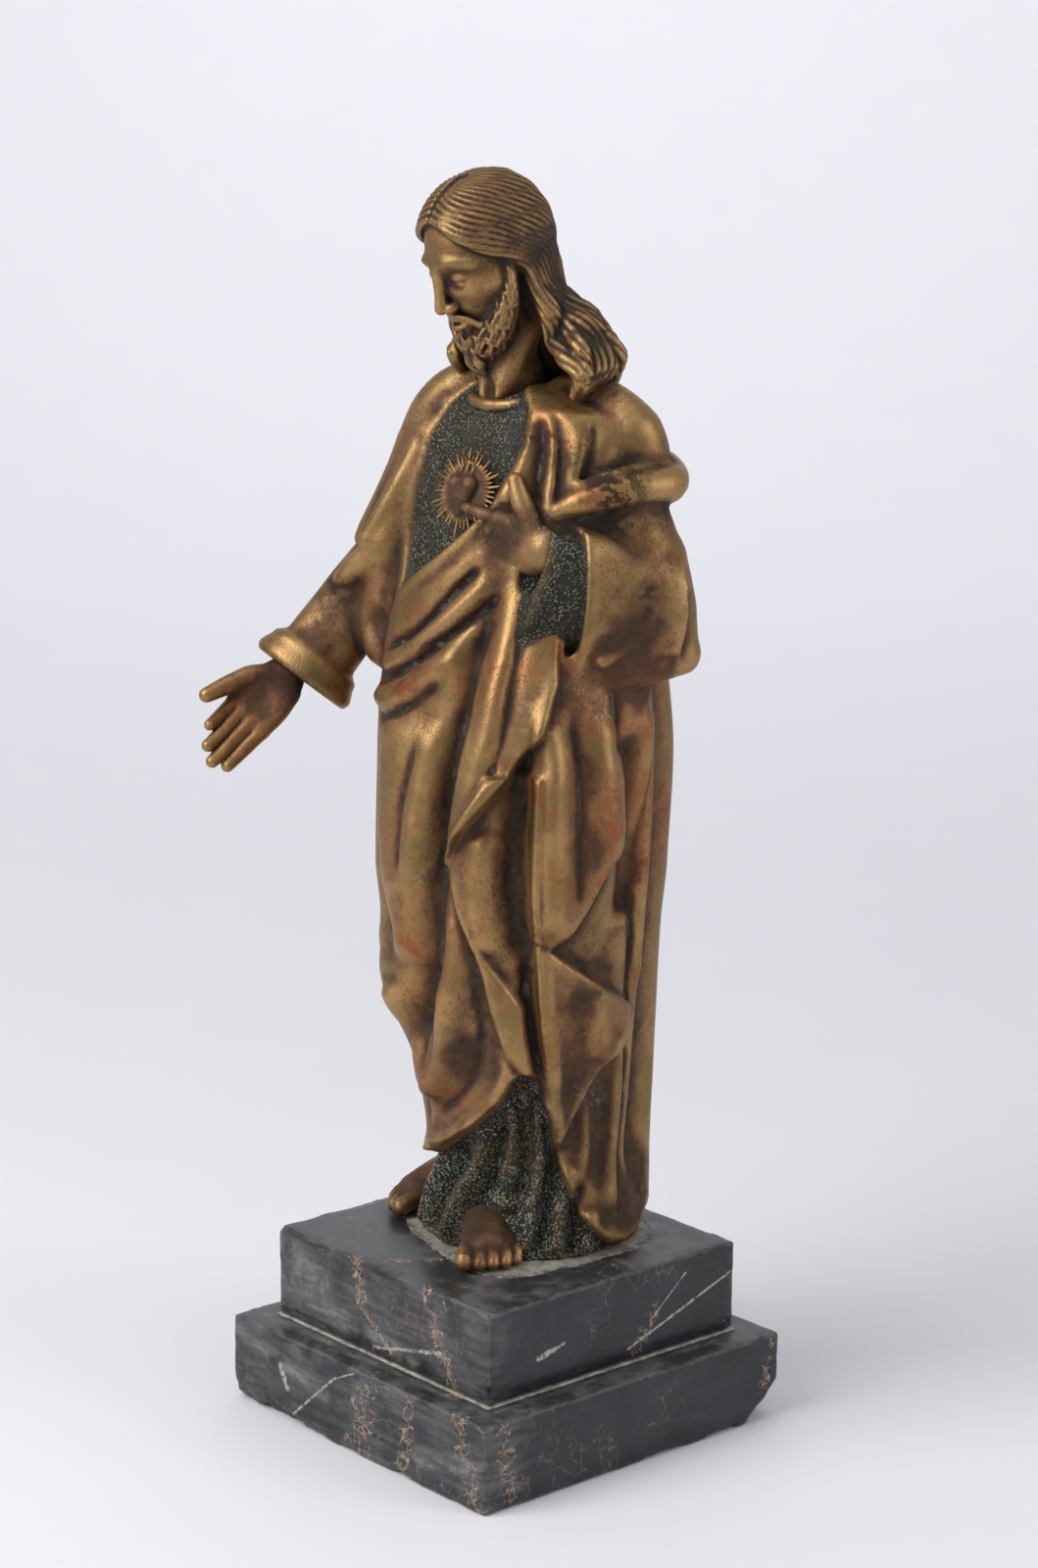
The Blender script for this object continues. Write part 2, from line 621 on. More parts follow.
def sculpt_left_arm(body):
    """The upper arm, the roll of cloth round it, the mantle's sleeve and the robe's cuff in it."""
    body.add(tube([(20, 11, 346, 7), (36, 14, 341, 11), (47, 17, 331, 13.5), (50, 19, 322, 12.5),
                   (50, 17, 314, 11)]), 5)
    body.add(tube([(40, 8, 324, 14), (46, 11, 312, 13), (53, 13, 299, 15.5), (56, 19, 268, 17.5),
                   (54, 17, 250, 14)]), 4)
    body.add(tube([(44, -18, 304, 3), (53, -13, 309, 5), (61, 2, 313, 6.5), (63.5, 22, 314, 7.5),
                   (46, 37, 318, 6), (20, 43, 323, 3)]), 3)
    body.add(tube([(51, -13, 315, 1.4), (60, 3, 320, 2.2), (62, 22, 321, 2.4)]), 2)
    upper = [(0, 22, 15), (0.4, 27, 15), (1, 32.5, 12.5)]
    body.add(sleeve((64, 26, 264), (49.5, -13, 266), LEFT_SLEEVE_SIDE, upper), 4)
    body.add(tube([(68, 16, 292, 2), (66, 2, 280, 3), (60, -10, 262, 3)]), 2)
    body.add(tube([(71, 24, 276, 2), (68, 8, 260, 3.2), (61, -8, 248, 3)]), 2)
    body.add(tube([(65, 30, 246, 7), (61, 12, 241, 5.5), (52, -3, 238, 4), (45, -12, 236, 3)]), 3)
    body.add(tube([(61, 23, 286, 8), (63, 27, 264, 9), (64, 29, 250, 8)]), 4)
    mouth = [(0, 22, 8), (1, 25, 9.8)]
    body.carve(sleeve((53, -4, 267.5), (49, -17, 268.6), LEFT_SLEEVE_SIDE, mouth), 1)
    for lobe in LEFT_CUFF_LOBES:
        body.add(tube(lobe), 2)
    body.add(sleeve(*LEFT_CUFF_ENDS, LEFT_CUFF_SIDE, LEFT_CUFF), 1)
    wrist = [(0, 10, 5), (1, 12, 6.6)]
    body.carve(sleeve((46, -20, 283), (41, -30, 285), LEFT_CUFF_SIDE, wrist), 1.5)


def sculpt_right_arm(body):
    """The upper arm in the mantle, its edge rolled back over the elbow, and the robe's sleeve."""
    body.add(tube([(-10, 2, 349, 7), (-28, -4, 343, 11), (-37, -6, 333, 13), (-42, -7, 319, 15),
                   (-48, -10, 302, 15), (-56, -15, 283, 14.5)]), 5)
    body.add(tube([(-44, -28, 284, 4), (-56, -34, 273, 5), (-68, -31, 264, 5), (-76, -15, 266, 4.5),
                   (-70, 0, 268, 5), (-56, 6, 262, 5)]), 3)
    body.add(tube([(-33, -14, 326, 7), (-39, -20, 306, 8.5), (-46, -25, 284, 10), (-48, -24, 262, 10)]), 6)
    body.add(tube([(-62, -22, 268, 8), (-57, -25, 252, 9.5), (-50, -24, 240, 9)]), 6)
    body.add(tube([(-34, -22, 322, 2), (-41, -29, 302, 3), (-50, -34, 284, 3.5)]), 2.5)
    body.add(tube([(-44, -18, 326, 2), (-52, -22, 306, 2.6), (-63, -26, 282, 3.2)]), 2.5)
    forearm = [(0, 14, 13), (0.5, 15.5, 13), (0.8, 16.2, 13), (0.86, 20, 15), (0.96, 22.5, 16.4),
               (1, 21.6, 15.8)]
    body.add(sleeve((-58.5, -7, 281.7), (-77, -47, 224.7), RIGHT_CUFF_SIDE, forearm), 1.5)
    mouth = [(0, 14, 10), (0.5, 17.8, 12.8), (1, 20, 15)]
    body.carve(sleeve((-74, -40.6, 235.7), (-79, -51.6, 216.7), RIGHT_CUFF_SIDE, mouth), 1)


def sculpt_collar(body):
    """The neck opening and its rolled collar."""
    x, y, z = COLLAR["middle"]
    ring = []
    for angle in np.radians(np.linspace(0, 360, COLLAR["points"])):
        ahead = math.cos(angle)
        side = x + COLLAR["side"] * math.sin(angle)
        ring.append((side, y - COLLAR["front"] * ahead, z - COLLAR["drop"] * ahead, COLLAR["radius"]))
    body.carve(egg((1, -3, 354), (16, 15, 12)), 2)
    body.add(tube(ring, 4), 1.2)


# Head, hair and beard.

# The head's frame is turned to the figure's right and bowed. Face sizes are shares of the head's
# height after the usual drawing-book rule: eyes half way down, nose and brow at thirds.
HEAD_CENTRE = np.array([-3.0, -14.0, 404.0])
HEAD_TURN = math.radians(-10)
HEAD_BOW = math.radians(27)
HEAD_HEIGHT = 63
CHIN = -0.571 * HEAD_HEIGHT
EYE_LINE = -0.075 * HEAD_HEIGHT
BROW_LINE = 0.012 * HEAD_HEIGHT
NOSE_BASE = -0.265 * HEAD_HEIGHT
MOUTH_LINE = -0.345 * HEAD_HEIGHT
SKULL = np.array([20.6, 24.8, 24.4])
UPPER_LID = math.radians(2)
LOWER_LID = math.radians(22)
MOUSTACHE_ROWS = 4
HAIR_THICKNESS = 1.4
GOLDEN = 0.618034


def head_axes():
    ahead = np.array([math.sin(HEAD_TURN), -math.cos(HEAD_TURN), 0])
    side = [math.cos(HEAD_TURN), math.sin(HEAD_TURN), 0]
    front = ahead * math.cos(HEAD_BOW) - np.array([0, 0, math.sin(HEAD_BOW)])
    up = ahead * math.sin(HEAD_BOW) + np.array([0, 0, math.cos(HEAD_BOW)])
    return np.array([side, front, up])


HEAD_AXES = head_axes()


def on_head(*place):
    """A point given in the head's frame: to its left, ahead, up."""
    return HEAD_CENTRE + np.array(place) @ HEAD_AXES


def head_tube(points, steps=5):
    return tube([(*on_head(*row[:3]), row[3]) for row in points], steps)


def head_egg(place, radii):
    return egg(on_head(*place), radii, HEAD_AXES)


def on_hair(around, above, lift=0.0):
    """A point on the hair, by its angle round from the face and its angle above the ears."""
    reach = SKULL + HAIR_THICKNESS + lift
    flat = math.cos(above)
    return reach * np.array([flat * math.sin(around), flat * math.cos(around), math.sin(above)])


def cut(shape, place, normal):
    """A shape without what lies beyond a plane, on the side that its normal points to."""
    normal = np.array(normal) / np.linalg.norm(normal)

    def trimmed(piece):
        def distance(points):
            return np.maximum(piece.distance(points), (points - place) @ normal)
        return Piece(piece.low, piece.high, distance)

    return Shape([trimmed(piece) for piece in shape.pieces])


def bundle(path, strands=4, spread=0.55, twist=0.05, start=0.0, steps=4):
    """A lock of hair: thin strands that wind slowly round a path of x, y, z, radius."""
    line = smooth_line(path, steps)
    way = np.gradient(line[:, :3], axis=0)
    way /= np.linalg.norm(way, axis=1)[:, None]
    across = np.cross(way, [0.3, 0.2, 1.0])
    across /= np.linalg.norm(across, axis=1)[:, None]
    lift = np.cross(across, way)
    run = np.concatenate([[0], np.cumsum(np.linalg.norm(np.diff(line[:, :3], axis=0), axis=1))])
    pieces = []
    for k in range(strands):
        angle = start + 2 * math.pi * k / strands + twist * run
        out = across * np.cos(angle)[:, None] + lift * np.sin(angle)[:, None]
        strand = line.copy()
        strand[:, :3] += out * (spread * line[:, 3])[:, None]
        strand[:, 3] *= 1 - spread * 0.78
        pieces += links(strand)
    return Shape(pieces)


def sculpt_head():
    head = Sculpture()
    head.add(head_egg((0, -1, 2), SKULL - (0, 0, 2)))
    head.add(head_egg((0, 8, -10), (17, 16.4, 23)), 6)
    head.add(head_egg((0, 14, CHIN + 6), (10, 8.5, 7)), 6)
    head.add(tube([(0, 3, 336, 13), (-1, -3, 358, 12), (-2, -8, 380, 12.5)]), 3)
    for s in (-1, 1):
        sculpt_half_face(head, s)
    nose = [(0, 24, BROW_LINE, 2.3), (0, 27, EYE_LINE - 4, 2.1), (0, 29.2, NOSE_BASE + 2.6, 2.4)]
    head.add(head_tube(nose), 2.5)
    head.add(head_tube([(-4.4, 24.6, MOUTH_LINE - 1.8, 0.9), (0, 26.4, MOUTH_LINE - 2.4, 1.5),
                        (4.4, 24.6, MOUTH_LINE - 1.8, 0.9)]), 0.8)
    sculpt_neck(head)
    sculpt_beard(head)
    sculpt_hair(head)
    return head


def sculpt_half_face(head, s):
    """One side of the face: cheek, brow, eye under half-lowered lids, nostril and lip."""
    head.add(head_tube([(s * 9, 15.2, -9, 6), (s * 14.5, 10.4, -10, 5)]), 4)
    head.carve(head_egg((s * 8.4, 26, EYE_LINE - 0.3), (6, 4.4, 3.6)), 3)
    head.add(head_tube([(s * 2.4, 23.4, BROW_LINE + 1.8, 1.3), (s * 8, 23, BROW_LINE + 2.4, 1.5),
                        (s * 15, 16.6, BROW_LINE - 0.4, 1.2)]), 3)
    eye = np.array((s * 8.2, 18.2, EYE_LINE))
    head.add(head_egg(eye, (4.6, 4.6, 4.6)), 0.5)
    upper = HEAD_AXES.T @ (0, math.sin(UPPER_LID), -math.cos(UPPER_LID))
    lower = HEAD_AXES.T @ (0, math.sin(LOWER_LID), math.cos(LOWER_LID))
    head.add(cut(head_egg(eye, (5.3, 5.2, 5.2)), on_head(*eye), upper), 0.25)
    head.add(cut(head_egg(eye, (5.2, 5.0, 5.0)), on_head(*eye), lower), 0.25)
    head.add(head_egg((s * 3, 26, NOSE_BASE + 1.4), (2.1, 2.7, 2)), 1.2)
    head.carve(head_egg((s * 1.9, 27.2, NOSE_BASE - 0.6), (0.9, 1.5, 0.8)), 0.5)
    lip = [(s * 0.6, 25.4, MOUTH_LINE + 0.9, 1), (s * 4.6, 24.4, MOUTH_LINE + 0.4, 0.8)]
    head.add(head_tube(lip), 0.8)
    for row in range(MOUSTACHE_ROWS):
        drop = row * 0.95
        back = 0.35 * row
        path = [(s * 0.5, 25.9 - back, NOSE_BASE - 1.5 - drop, 0.75),
                (s * 3.6, 25.4 - back, NOSE_BASE - 2.4 - drop, 0.85),
                (s * 7.4, 22.8 - back, NOSE_BASE - 4.8 - drop, 0.8),
                (s * 10.4, 19.8 - back, NOSE_BASE - 9 - drop, 0.6)]
        head.add(head_tube(path), 0.35)


def sculpt_neck(head):
    """The two cords of the neck that meet in the notch between the collar bones."""
    for s in (-1, 1):
        head.add(tube([(s * 12 - 1, 4, 376, 4), (s * 8, -6, 360, 4), (s * 3.2, -12, 345, 3.2)]), 4)
    head.carve(egg((0.5, -15.5, 346), (3, 3, 4)), 3)


# The beard's middle line on one side, from the ear to the chin: side, ahead, up and radius.
BEARD_LINE = [(17.4, 3.5, -5, 2), (16.8, 8, -17, 4.2), (11.6, 14.5, -28.5, 6), (0, 18.6, CHIN, 6.6)]
BEARD_ROWS = 6
BEARD_LOCKS = 12
# One short lock: its step along the jaw, its sideways bow, its turn round the mass in degrees,
# its lift off the mass and its radius.
BEARD_CURL = [
    (-0.05, 0, 20, -0.3, 1.0),
    (-0.015, 1, 5, 0.7, 1.5),
    (0.02, -1, -11, 0.9, 1.5),
    (0.05, 0.4, -25, 0.1, 0.8),
]


def sculpt_beard(head):
    """A mass along the jaw, covered in short wavy locks that curl down and towards the chin."""
    for s in (-1, 1):
        line = smooth_line([(s * a, b, c, r) for a, b, c, r in BEARD_LINE], 12)
        head.add(tube([(*on_head(*row[:3]), row[3]) for row in line[::4]]), 3)
        for row in range(BEARD_ROWS):
            for i in range(BEARD_LOCKS):
                along = (i + 0.5 * (row % 2)) / BEARD_LOCKS
                around = mix(66, -84, row / (BEARD_ROWS - 1))
                bow = 0.03 if (i + row) % 2 else -0.025
                path = []
                for step, way, turned, lift, radius in BEARD_CURL:
                    spot = beard_spot(line, along + step + bow * way, around + turned, lift)
                    path.append((*on_head(*spot), radius))
                start = i * GOLDEN + row
                head.add(bundle(path, strands=3, spread=0.6, start=start, twist=0.2, steps=3), 0.25)
        tuft = [(s * 2.4, 24, CHIN + 1, 1.8), (s * 3.2, 24.6, CHIN - 4, 2.2),
                (s * 1.8, 23.6, CHIN - 8, 1.8), (s * 3, 21.6, CHIN - 11, 0.9)]
        tuft = [(*on_head(*row[:3]), row[3]) for row in tuft]
        head.add(bundle(tuft, strands=4, spread=0.6, start=s, twist=0.2), 0.3)


def beard_spot(line, along, around, lift):
    """A place on the beard's mass, by the share along the jaw and the angle up from its outer side."""
    at = np.clip(along, 0, 1) * (len(line) - 1)
    row = line[int(round(at))]
    out = np.array([row[0], row[1] - 2, 0])
    out /= np.linalg.norm(out)
    reach = row[3] + lift
    turned = math.radians(around)
    return row[:3] + reach * (math.cos(turned) * out + math.sin(turned) * np.array([0, 0, 1]))


# Where the hair falls once it leaves the head: for each side, guides from the front to the middle
# of the back. The locks between two guides are worked out from both.
HAIR_FALLS = {
    1: [
        [(19, -7, 386), (21, -3, 377), (26, -2, 368), (32, -3, 360), (37, -1, 353), (39, -4, 347)],
        [(19, -2, 387), (22, 2, 379), (29, 3, 371), (35, 3, 363), (39, 3, 356), (39, -1, 349)],
        [(17, 3, 388), (21, 7, 381), (29, 9, 374), (36, 10, 366), (40, 11, 358), (38, 6, 350)],
        [(12, 7, 389), (17, 11, 382), (25, 15, 375), (33, 18, 367), (37, 20, 359), (35, 18, 350)],
        [(6, 10, 389), (10, 15, 381), (17, 20, 373), (23, 24, 364), (27, 27, 355), (24, 27, 346)],
        [(1, 12, 390), (2, 17, 381), (4, 22, 371), (4, 27, 360), (4, 30, 350), (2, 31, 341)],
    ],
    -1: [
        [(-21, -8, 388), (-21, -7, 378), (-21, -8, 370), (-21, -10, 363), (-21, -13, 358), (-19, -14, 354)],
        [(-21, -3, 388), (-22, -2, 378), (-23, -1, 369), (-25, -2, 361), (-26, -3, 355), (-25, -5, 350)],
        [(-19, 5, 388), (-20, 8, 377), (-22, 10, 368), (-26, 12, 359), (-28, 13, 351), (-26, 11, 345)],
        [(-12, 12, 389), (-12, 17, 378), (-14, 21, 367), (-17, 24, 357), (-19, 25, 349), (-17, 24, 343)],
        [(-2, 16, 390), (-2, 21, 379), (-2, 25, 368), (-3, 28, 357), (-4, 30, 348), (-5, 30, 341)],
    ],
}
LOCKS_PER_SIDE = 15
CAP_BENDS = 6
FALL_RADII = (2.5, 3.1, 3.4, 3.5, 3.1, 1.6)


def sculpt_hair(head):
    """A cap swept back from a centre parting, then long locks that fall to the shoulders."""
    cap = head_egg((0, 0, 0), SKULL + HAIR_THICKNESS)
    face_side = HEAD_AXES.T @ (0, 0.85, -0.53)
    head.add(cut(cap, on_head(0, 20.1, 19), face_side), 0.8)
    head.add(tube([(5, 1, 396, 13), (11, 5, 383, 9), (21, 9, 372, 7), (30, 11, 362, 6), (34, 12, 355, 5)]), 3)
    head.add(tube([(-2, 4, 392, 14), (0, 12, 374, 10), (2, 19, 354, 8)]), 3)
    head.add(tube([(-14, -2, 388, 8), (-17, 0, 372, 6), (-21, 2, 358, 5)]), 3)
    for s, guides in HAIR_FALLS.items():
        guides = np.array(guides, float)
        for lock in range(LOCKS_PER_SIDE):
            k = lock / (LOCKS_PER_SIDE - 1)
            path = lock_path(s, k, lock, guides)
            head.add(bundle(path, strands=5, spread=0.68, start=GOLDEN * 6 * lock, twist=0.1), 0.3)


def lock_path(s, k, lock, guides):
    """The middle line and radius of one lock, from the parting over the cap to the shoulder."""
    points = []
    for j in range(CAP_BENDS):
        t = j / (CAP_BENDS - 1) * 0.96
        wave = 3.2 * math.sin((t * 1.7 + k * 1.3) * math.pi * 2) * t
        around = mix(4 + 166 * k * k, 100 + 72 * k, t ** 0.8) + wave
        above = mix(46 + 36 * math.sin(math.pi * min(k * 1.3, 1) * 0.62), -28, t ** 1.25)
        a, b, c = on_hair(math.radians(around), math.radians(above))
        radius = mix(1.1, 2.4, smooth(t, -0.05, 0.4))
        points.append((*on_head(s * a, b, c), radius))
    at = k * (len(guides) - 1)
    n = min(int(at), len(guides) - 2)
    fall = mix(guides[n], guides[n + 1], at - n)
    phase = lock * 0.9 + 1.1 * math.sin(lock * 5.1)
    for j, (x, y, z) in enumerate(fall):
        sway = 2.6 * math.sin(phase + j * 2.1) * min(j, 1)
        lift = 1.5 * math.cos(phase * 1.7 + j * 1.7) * min(j, 1)
        points.append((x + sway + s * lift, y - 0.7 * sway, z + 0.8 * lift, FALL_RADII[j]))
    return points


# Hands, feet and the emblem.

Hand = namedtuple("Hand", "wrist forearm ahead palm length thumb_side fingers thumb")

# Each finger is (bend at the knuckle, bend further on) in degrees, from the index to the little one.
RIGHT_HAND = Hand(
    wrist=(-76.5, -54, 227.5), forearm=(-71, -34, 247), ahead=(-0.07, -0.77, -0.63),
    palm=(0.76, -0.4, 0.5), length=50, thumb_side=-1, fingers=[(3, 4), (6, 6), (9, 8), (12, 10)],
    thumb=[(-80, -66, 228), (-82, -78, 225.5), (-83.5, -89, 222)],
)
LEFT_HAND = Hand(
    wrist=(45, -22, 289), forearm=(56, -6, 280), ahead=(-0.93, -0.32, 0.16), palm=(-0.3, 0.93, 0.1),
    length=50, thumb_side=1, fingers=[(10, 16), (26, 38), (30, 42), (4, 8)],
    thumb=[(38, -26, 301), (34.5, -27.5, 309), (32, -28, 316)],
)
# Each knuckle as shares of the hand's length: across, ahead, and its finger's length and radius.
KNUCKLES = [
    (0.16, 0.5, 0.42, 0.07),
    (0.052, 0.52, 0.47, 0.073),
    (-0.058, 0.5, 0.43, 0.07),
    (-0.16, 0.45, 0.35, 0.062),
]
FINGER_BONES = (0.45, 0.3, 0.25)
# The two pads of the palm: across, ahead, lift and radii, as shares of the length.
PALM_PADS = [(0.13, 0.22, 0.05, (0.085, 0.17, 0.075)), (-0.12, 0.24, 0.035, (0.08, 0.19, 0.065))]
NAIL = np.array([0.036, 0.055, 0.018])


def sculpt_hand(hand):
    """A hand from its wrist, with every bone of its fingers worked out from its length."""
    form = Sculpture()
    along = np.array(hand.ahead) / np.linalg.norm(hand.ahead)
    face = np.array(hand.palm) - np.dot(hand.palm, along) * along
    face /= np.linalg.norm(face)
    across = np.cross(along, face) * hand.thumb_side
    axes = np.array([across, along, face])

    def place(x, y, z=0.0):
        return np.array(hand.wrist) + hand.length * (x * along + y * across + z * face)

    def row(spot, radius):
        return (*spot, radius * hand.length)

    form.add(tube([row(hand.forearm, 0.15), row(place(0, 0), 0.125), row(place(0.12, 0.01), 0.115)]), 2)
    for (y, x, size, radius), (first, further) in zip(KNUCKLES, hand.fingers):
        form.add(tube([row(place(0.04, y * 0.5), 0.095), row(place(x * 0.6, y * 0.95, 0.004), 0.088),
                       row(place(x, y), 0.072)]), 3)
        bend = math.radians(first)
        spot = place(x, y)
        points = [row(spot, radius * 1.08)]
        for k, bone in enumerate(FINGER_BONES):
            step = along * math.cos(bend) + face * math.sin(bend)
            middle = spot + step * bone * size * hand.length / 2
            spot = spot + step * bone * size * hand.length
            points.append(row(middle, radius * (0.95 - 0.09 * k)))
            points.append(row(spot, radius * (1 - 0.09 * (k + 1))))
            bend += math.radians(further) * (0.6 if k else 1)
        form.add(tube(points, 3), 0.7)
        nail = spot - step * 0.045 * hand.length - face * radius * 0.62 * hand.length
        nail_axes = np.array([across, step, np.cross(across, step)])
        form.add(egg(nail, hand.length * NAIL, nail_axes), 0.3)
    for y, x, lift, sizes in PALM_PADS:
        form.add(egg(place(x, y, lift), hand.length * np.array(sizes), axes), 3)
    base, joint, tip = hand.thumb
    root = place(0.12, 0.12, 0.02)
    form.add(tube([row(root, 0.085), row(base, 0.085), row(joint, 0.08), row(tip, 0.062)]), 2)
    return form


# Each foot: where its ball stands, how far its toes turn out, and which foot it is.
FEET = [((24, -29), 43, 1), ((-47, -9), -14, -1)]
# Each toe: how far out it lies, where its tip is, its radius and its length.
TOES = [
    (-9.6, 15.5, 3.8, 13),
    (-3.4, 14.5, 2.9, 11),
    (1.8, 12.5, 2.7, 10.5),
    (6.6, 9.5, 2.6, 10),
    (10.6, 5.5, 2.4, 9),
]
TOE_NAIL = np.array([0.62, 0.7, 0.28])


def sculpt_foot(ball, turned, mirrored):
    """A bare foot, from the heel under the hem to its five toes and their nails."""
    form = Sculpture()
    angle = math.radians(turned)

    def row(ahead, out, z, radius):
        x = ball[0] + ahead * math.sin(angle) + mirrored * out * math.cos(angle)
        y = ball[1] - ahead * math.cos(angle) + mirrored * out * math.sin(angle)
        return (x, y, z, radius)

    form.add(tube([row(-30, 0, 16, 10), row(-12, 0, 10, 9.5), row(0, -1, 6, 8.5)]), 3)
    form.add(tube([row(-22, -5, 14, 9), row(-8, -5, 8, 8), row(3, -6.5, 5, 6)]), 3)
    form.add(tube([row(-22, 5, 10, 8), row(-8, 5.5, 6, 7), row(0, 6.5, 4, 5)]), 3)
    for out, tip, radius, size in TOES:
        form.add(tube([row(tip - size, out * 0.92, 6.2, radius), row(tip - size * 0.5, out, 5.2, radius),
                       row(tip - radius, out, radius, radius * 1.02)], 3), 0.8)
        nail = row(tip - 0.9 * radius, out, radius * 1.75, 0)[:3]
        form.add(egg(nail, radius * TOE_NAIL), 0.3)
    return form


# The emblem on the chest: a heart with a flame and a small cross, in a ring of rays.
EMBLEM_CENTRE = np.array([5.5, -30.5, 309.0])
EMBLEM_TILT = math.radians(-16)
EMBLEM_TURN = math.radians(8)
HEART_SIZE = 6.9
RAYS = 44
RAY_INNER = 6.5
RAY_OUTER = 17.5
RAY_RADIUS = 1.15
RAY_TIP_RADIUS = 0.45


def emblem_axes():
    level = math.cos(EMBLEM_TILT)
    front = np.array([math.sin(EMBLEM_TURN) * level, -math.cos(EMBLEM_TURN) * level, -math.sin(EMBLEM_TILT)])
    side = np.array([math.cos(EMBLEM_TURN), math.sin(EMBLEM_TURN), 0])
    return np.array([side, front, np.cross(front, side)])


def sculpt_emblem():
    """The heart with its flame and cross, and the rays round it."""
    axes = emblem_axes()

    def heart_tube(*rows):
        rows = HEART_SIZE * np.array(rows)
        return tube([(*(EMBLEM_CENTRE + row[:3] @ axes), row[3]) for row in rows], 4)

    form = Sculpture()
    for s in (-1, 1):
        form.add(heart_tube((s * 0.46, 0.1, 0.35, 0.56), (s * 0.26, 0.1, -0.3, 0.5), (0, 0, -1.1, 0.22)), 2.6)
        flame = heart_tube((s * 0.2, 0.1, 0.8, 0.2), (s * 0.42, 0.1, 1.15, 0.15), (s * 0.34, 0.1, 1.5, 0.06))
        form.add(flame, 0.8)
    form.add(heart_tube((0, 0.1, 0.7, 0.24), (0, 0.1, 1.2, 0.18), (0, 0.1, 1.75, 0.1)), 0.8)
    form.add(heart_tube((-0.3, 0.1, 1.6, 0.1), (0.3, 0.1, 1.6, 0.1)), 0.6)
    for k in range(RAYS):
        angle = (k + 0.5) / RAYS * 2 * math.pi
        away = math.cos(angle) * axes[0] + math.sin(angle) * axes[2]
        outer = RAY_OUTER * (0.84 + 0.12 * math.sin(2.4 * k) + 0.05 * math.sin(7.1 * k))
        near = EMBLEM_CENTRE + away * RAY_INNER - axes[1] * 0.1
        far = EMBLEM_CENTRE + away * outer - axes[1] * 0.3
        form.add(Shape(links(np.array([(*near, RAY_RADIUS), (*far, RAY_TIP_RADIUS)]))), 0.4)
    return form


# From fields to meshes.

LATTICE = 32


def wavy(points, scale, seed):
    """Smooth noise between -1 and 1: random values on a lattice, blended between its corners."""
    random = np.random.default_rng(seed)
    lattice = random.uniform(-1, 1, (LATTICE, LATTICE, LATTICE)).astype(np.float32)
    spot = points / scale
    corner = np.floor(spot).astype(int)
    share = spot - corner
    share = share * share * (3 - 2 * share)
    return blend(lattice, corner, share, LATTICE)


def blend(grid, corner, share, period):
    """A grid's values blended between the eight cells at each corner. The grid repeats each period."""
    total = 0.0
    for ups in np.ndindex(2, 2, 2):
        weight = 1.0
        for k, up in enumerate(ups):
            weight = weight * (share[:, k] if up else 1 - share[:, k])
        total = total + weight * grid[tuple(((corner + ups) % period).T)]
    return total


def read_grid(grid, spot):
    """Values of a grid at fractional indices, blended between the eight cells round each."""
    spot = np.clip(spot, 0, np.array(grid.shape[:3]) - 1.001)
    corner = spot.astype(int)
    return blend(grid, corner, spot - corner, grid.shape[:3])


def mesh_field(sculpture, low, high, cell):
    """Meshes a sculpture within a box. Gives the places, the quads and the grid of distances."""
    low = np.array(low, float)
    counts = np.ceil((np.array(high) - low) / cell).astype(int) + 1
    values = sculpture.on_grid(low, cell, counts)
    for k in range(3):
        for side in (0, -1):
            rim = [slice(None)] * 3
            rim[k] = side
            values[tuple(rim)] = np.maximum(values[tuple(rim)], cell * 0.3)
    spots, quads = surface_net(values)
    return low + settle(values, spots, cell) * cell, quads, values


def settle(values, spots, cell):
    """Moves grid spots along the slope of the values until they lie where the values are zero."""
    here = read_grid(values, spots)
    gradient = np.empty((len(spots), 3))
    for k in range(3):
        step = np.zeros(3)
        step[k] = 0.5
        gradient[:, k] = read_grid(values, spots + step) - read_grid(values, spots - step)
    steep = np.maximum(np.sum(gradient ** 2, axis=1), (0.5 * cell) ** 2)
    return spots - gradient * np.clip(here / steep, -1, 1)[:, None]


def box_blur(grid, radius):
    """The mean of a grid over boxes that reach radius cells each way."""
    for axis in range(3):
        pad = [(0, 0)] * 3
        pad[axis] = (radius + 1, radius)
        total = np.cumsum(np.pad(grid, pad, mode="edge"), axis=axis, dtype=np.float64)
        count = grid.shape[axis]
        span = 2 * radius + 1
        after = np.take(total, np.arange(span, span + count), axis=axis)
        before = np.take(total, np.arange(count), axis=axis)
        grid = ((after - before) / span).astype(np.float32)
    return grid


class Fullness:
    """How much of the space round a point is metal: about a half on a flat surface, more in a
    hollow and less on a ridge."""

    def __init__(self, values, low, cell, radius):
        solid = np.clip(0.5 - values / cell, 0, 1).astype(np.float32)
        blur = max(round(radius / cell), 1)
        self.grid = box_blur(box_blur(solid, blur), blur)
        self.low = low
        self.cell = cell

    def at(self, points):
        return read_grid(self.grid, (points - self.low) / self.cell)


# The casting, part by part.

Part = namedtuple("Part", "name form low high cell fine_radius triangles")
WHOLE_BOX = ((-102, -110, -4), (86, 72, 436))
WHOLE_CELL = 1.6
WIDE_RADIUS = 5.0


@lru_cache(maxsize=None)
def robes():
    return Robes()


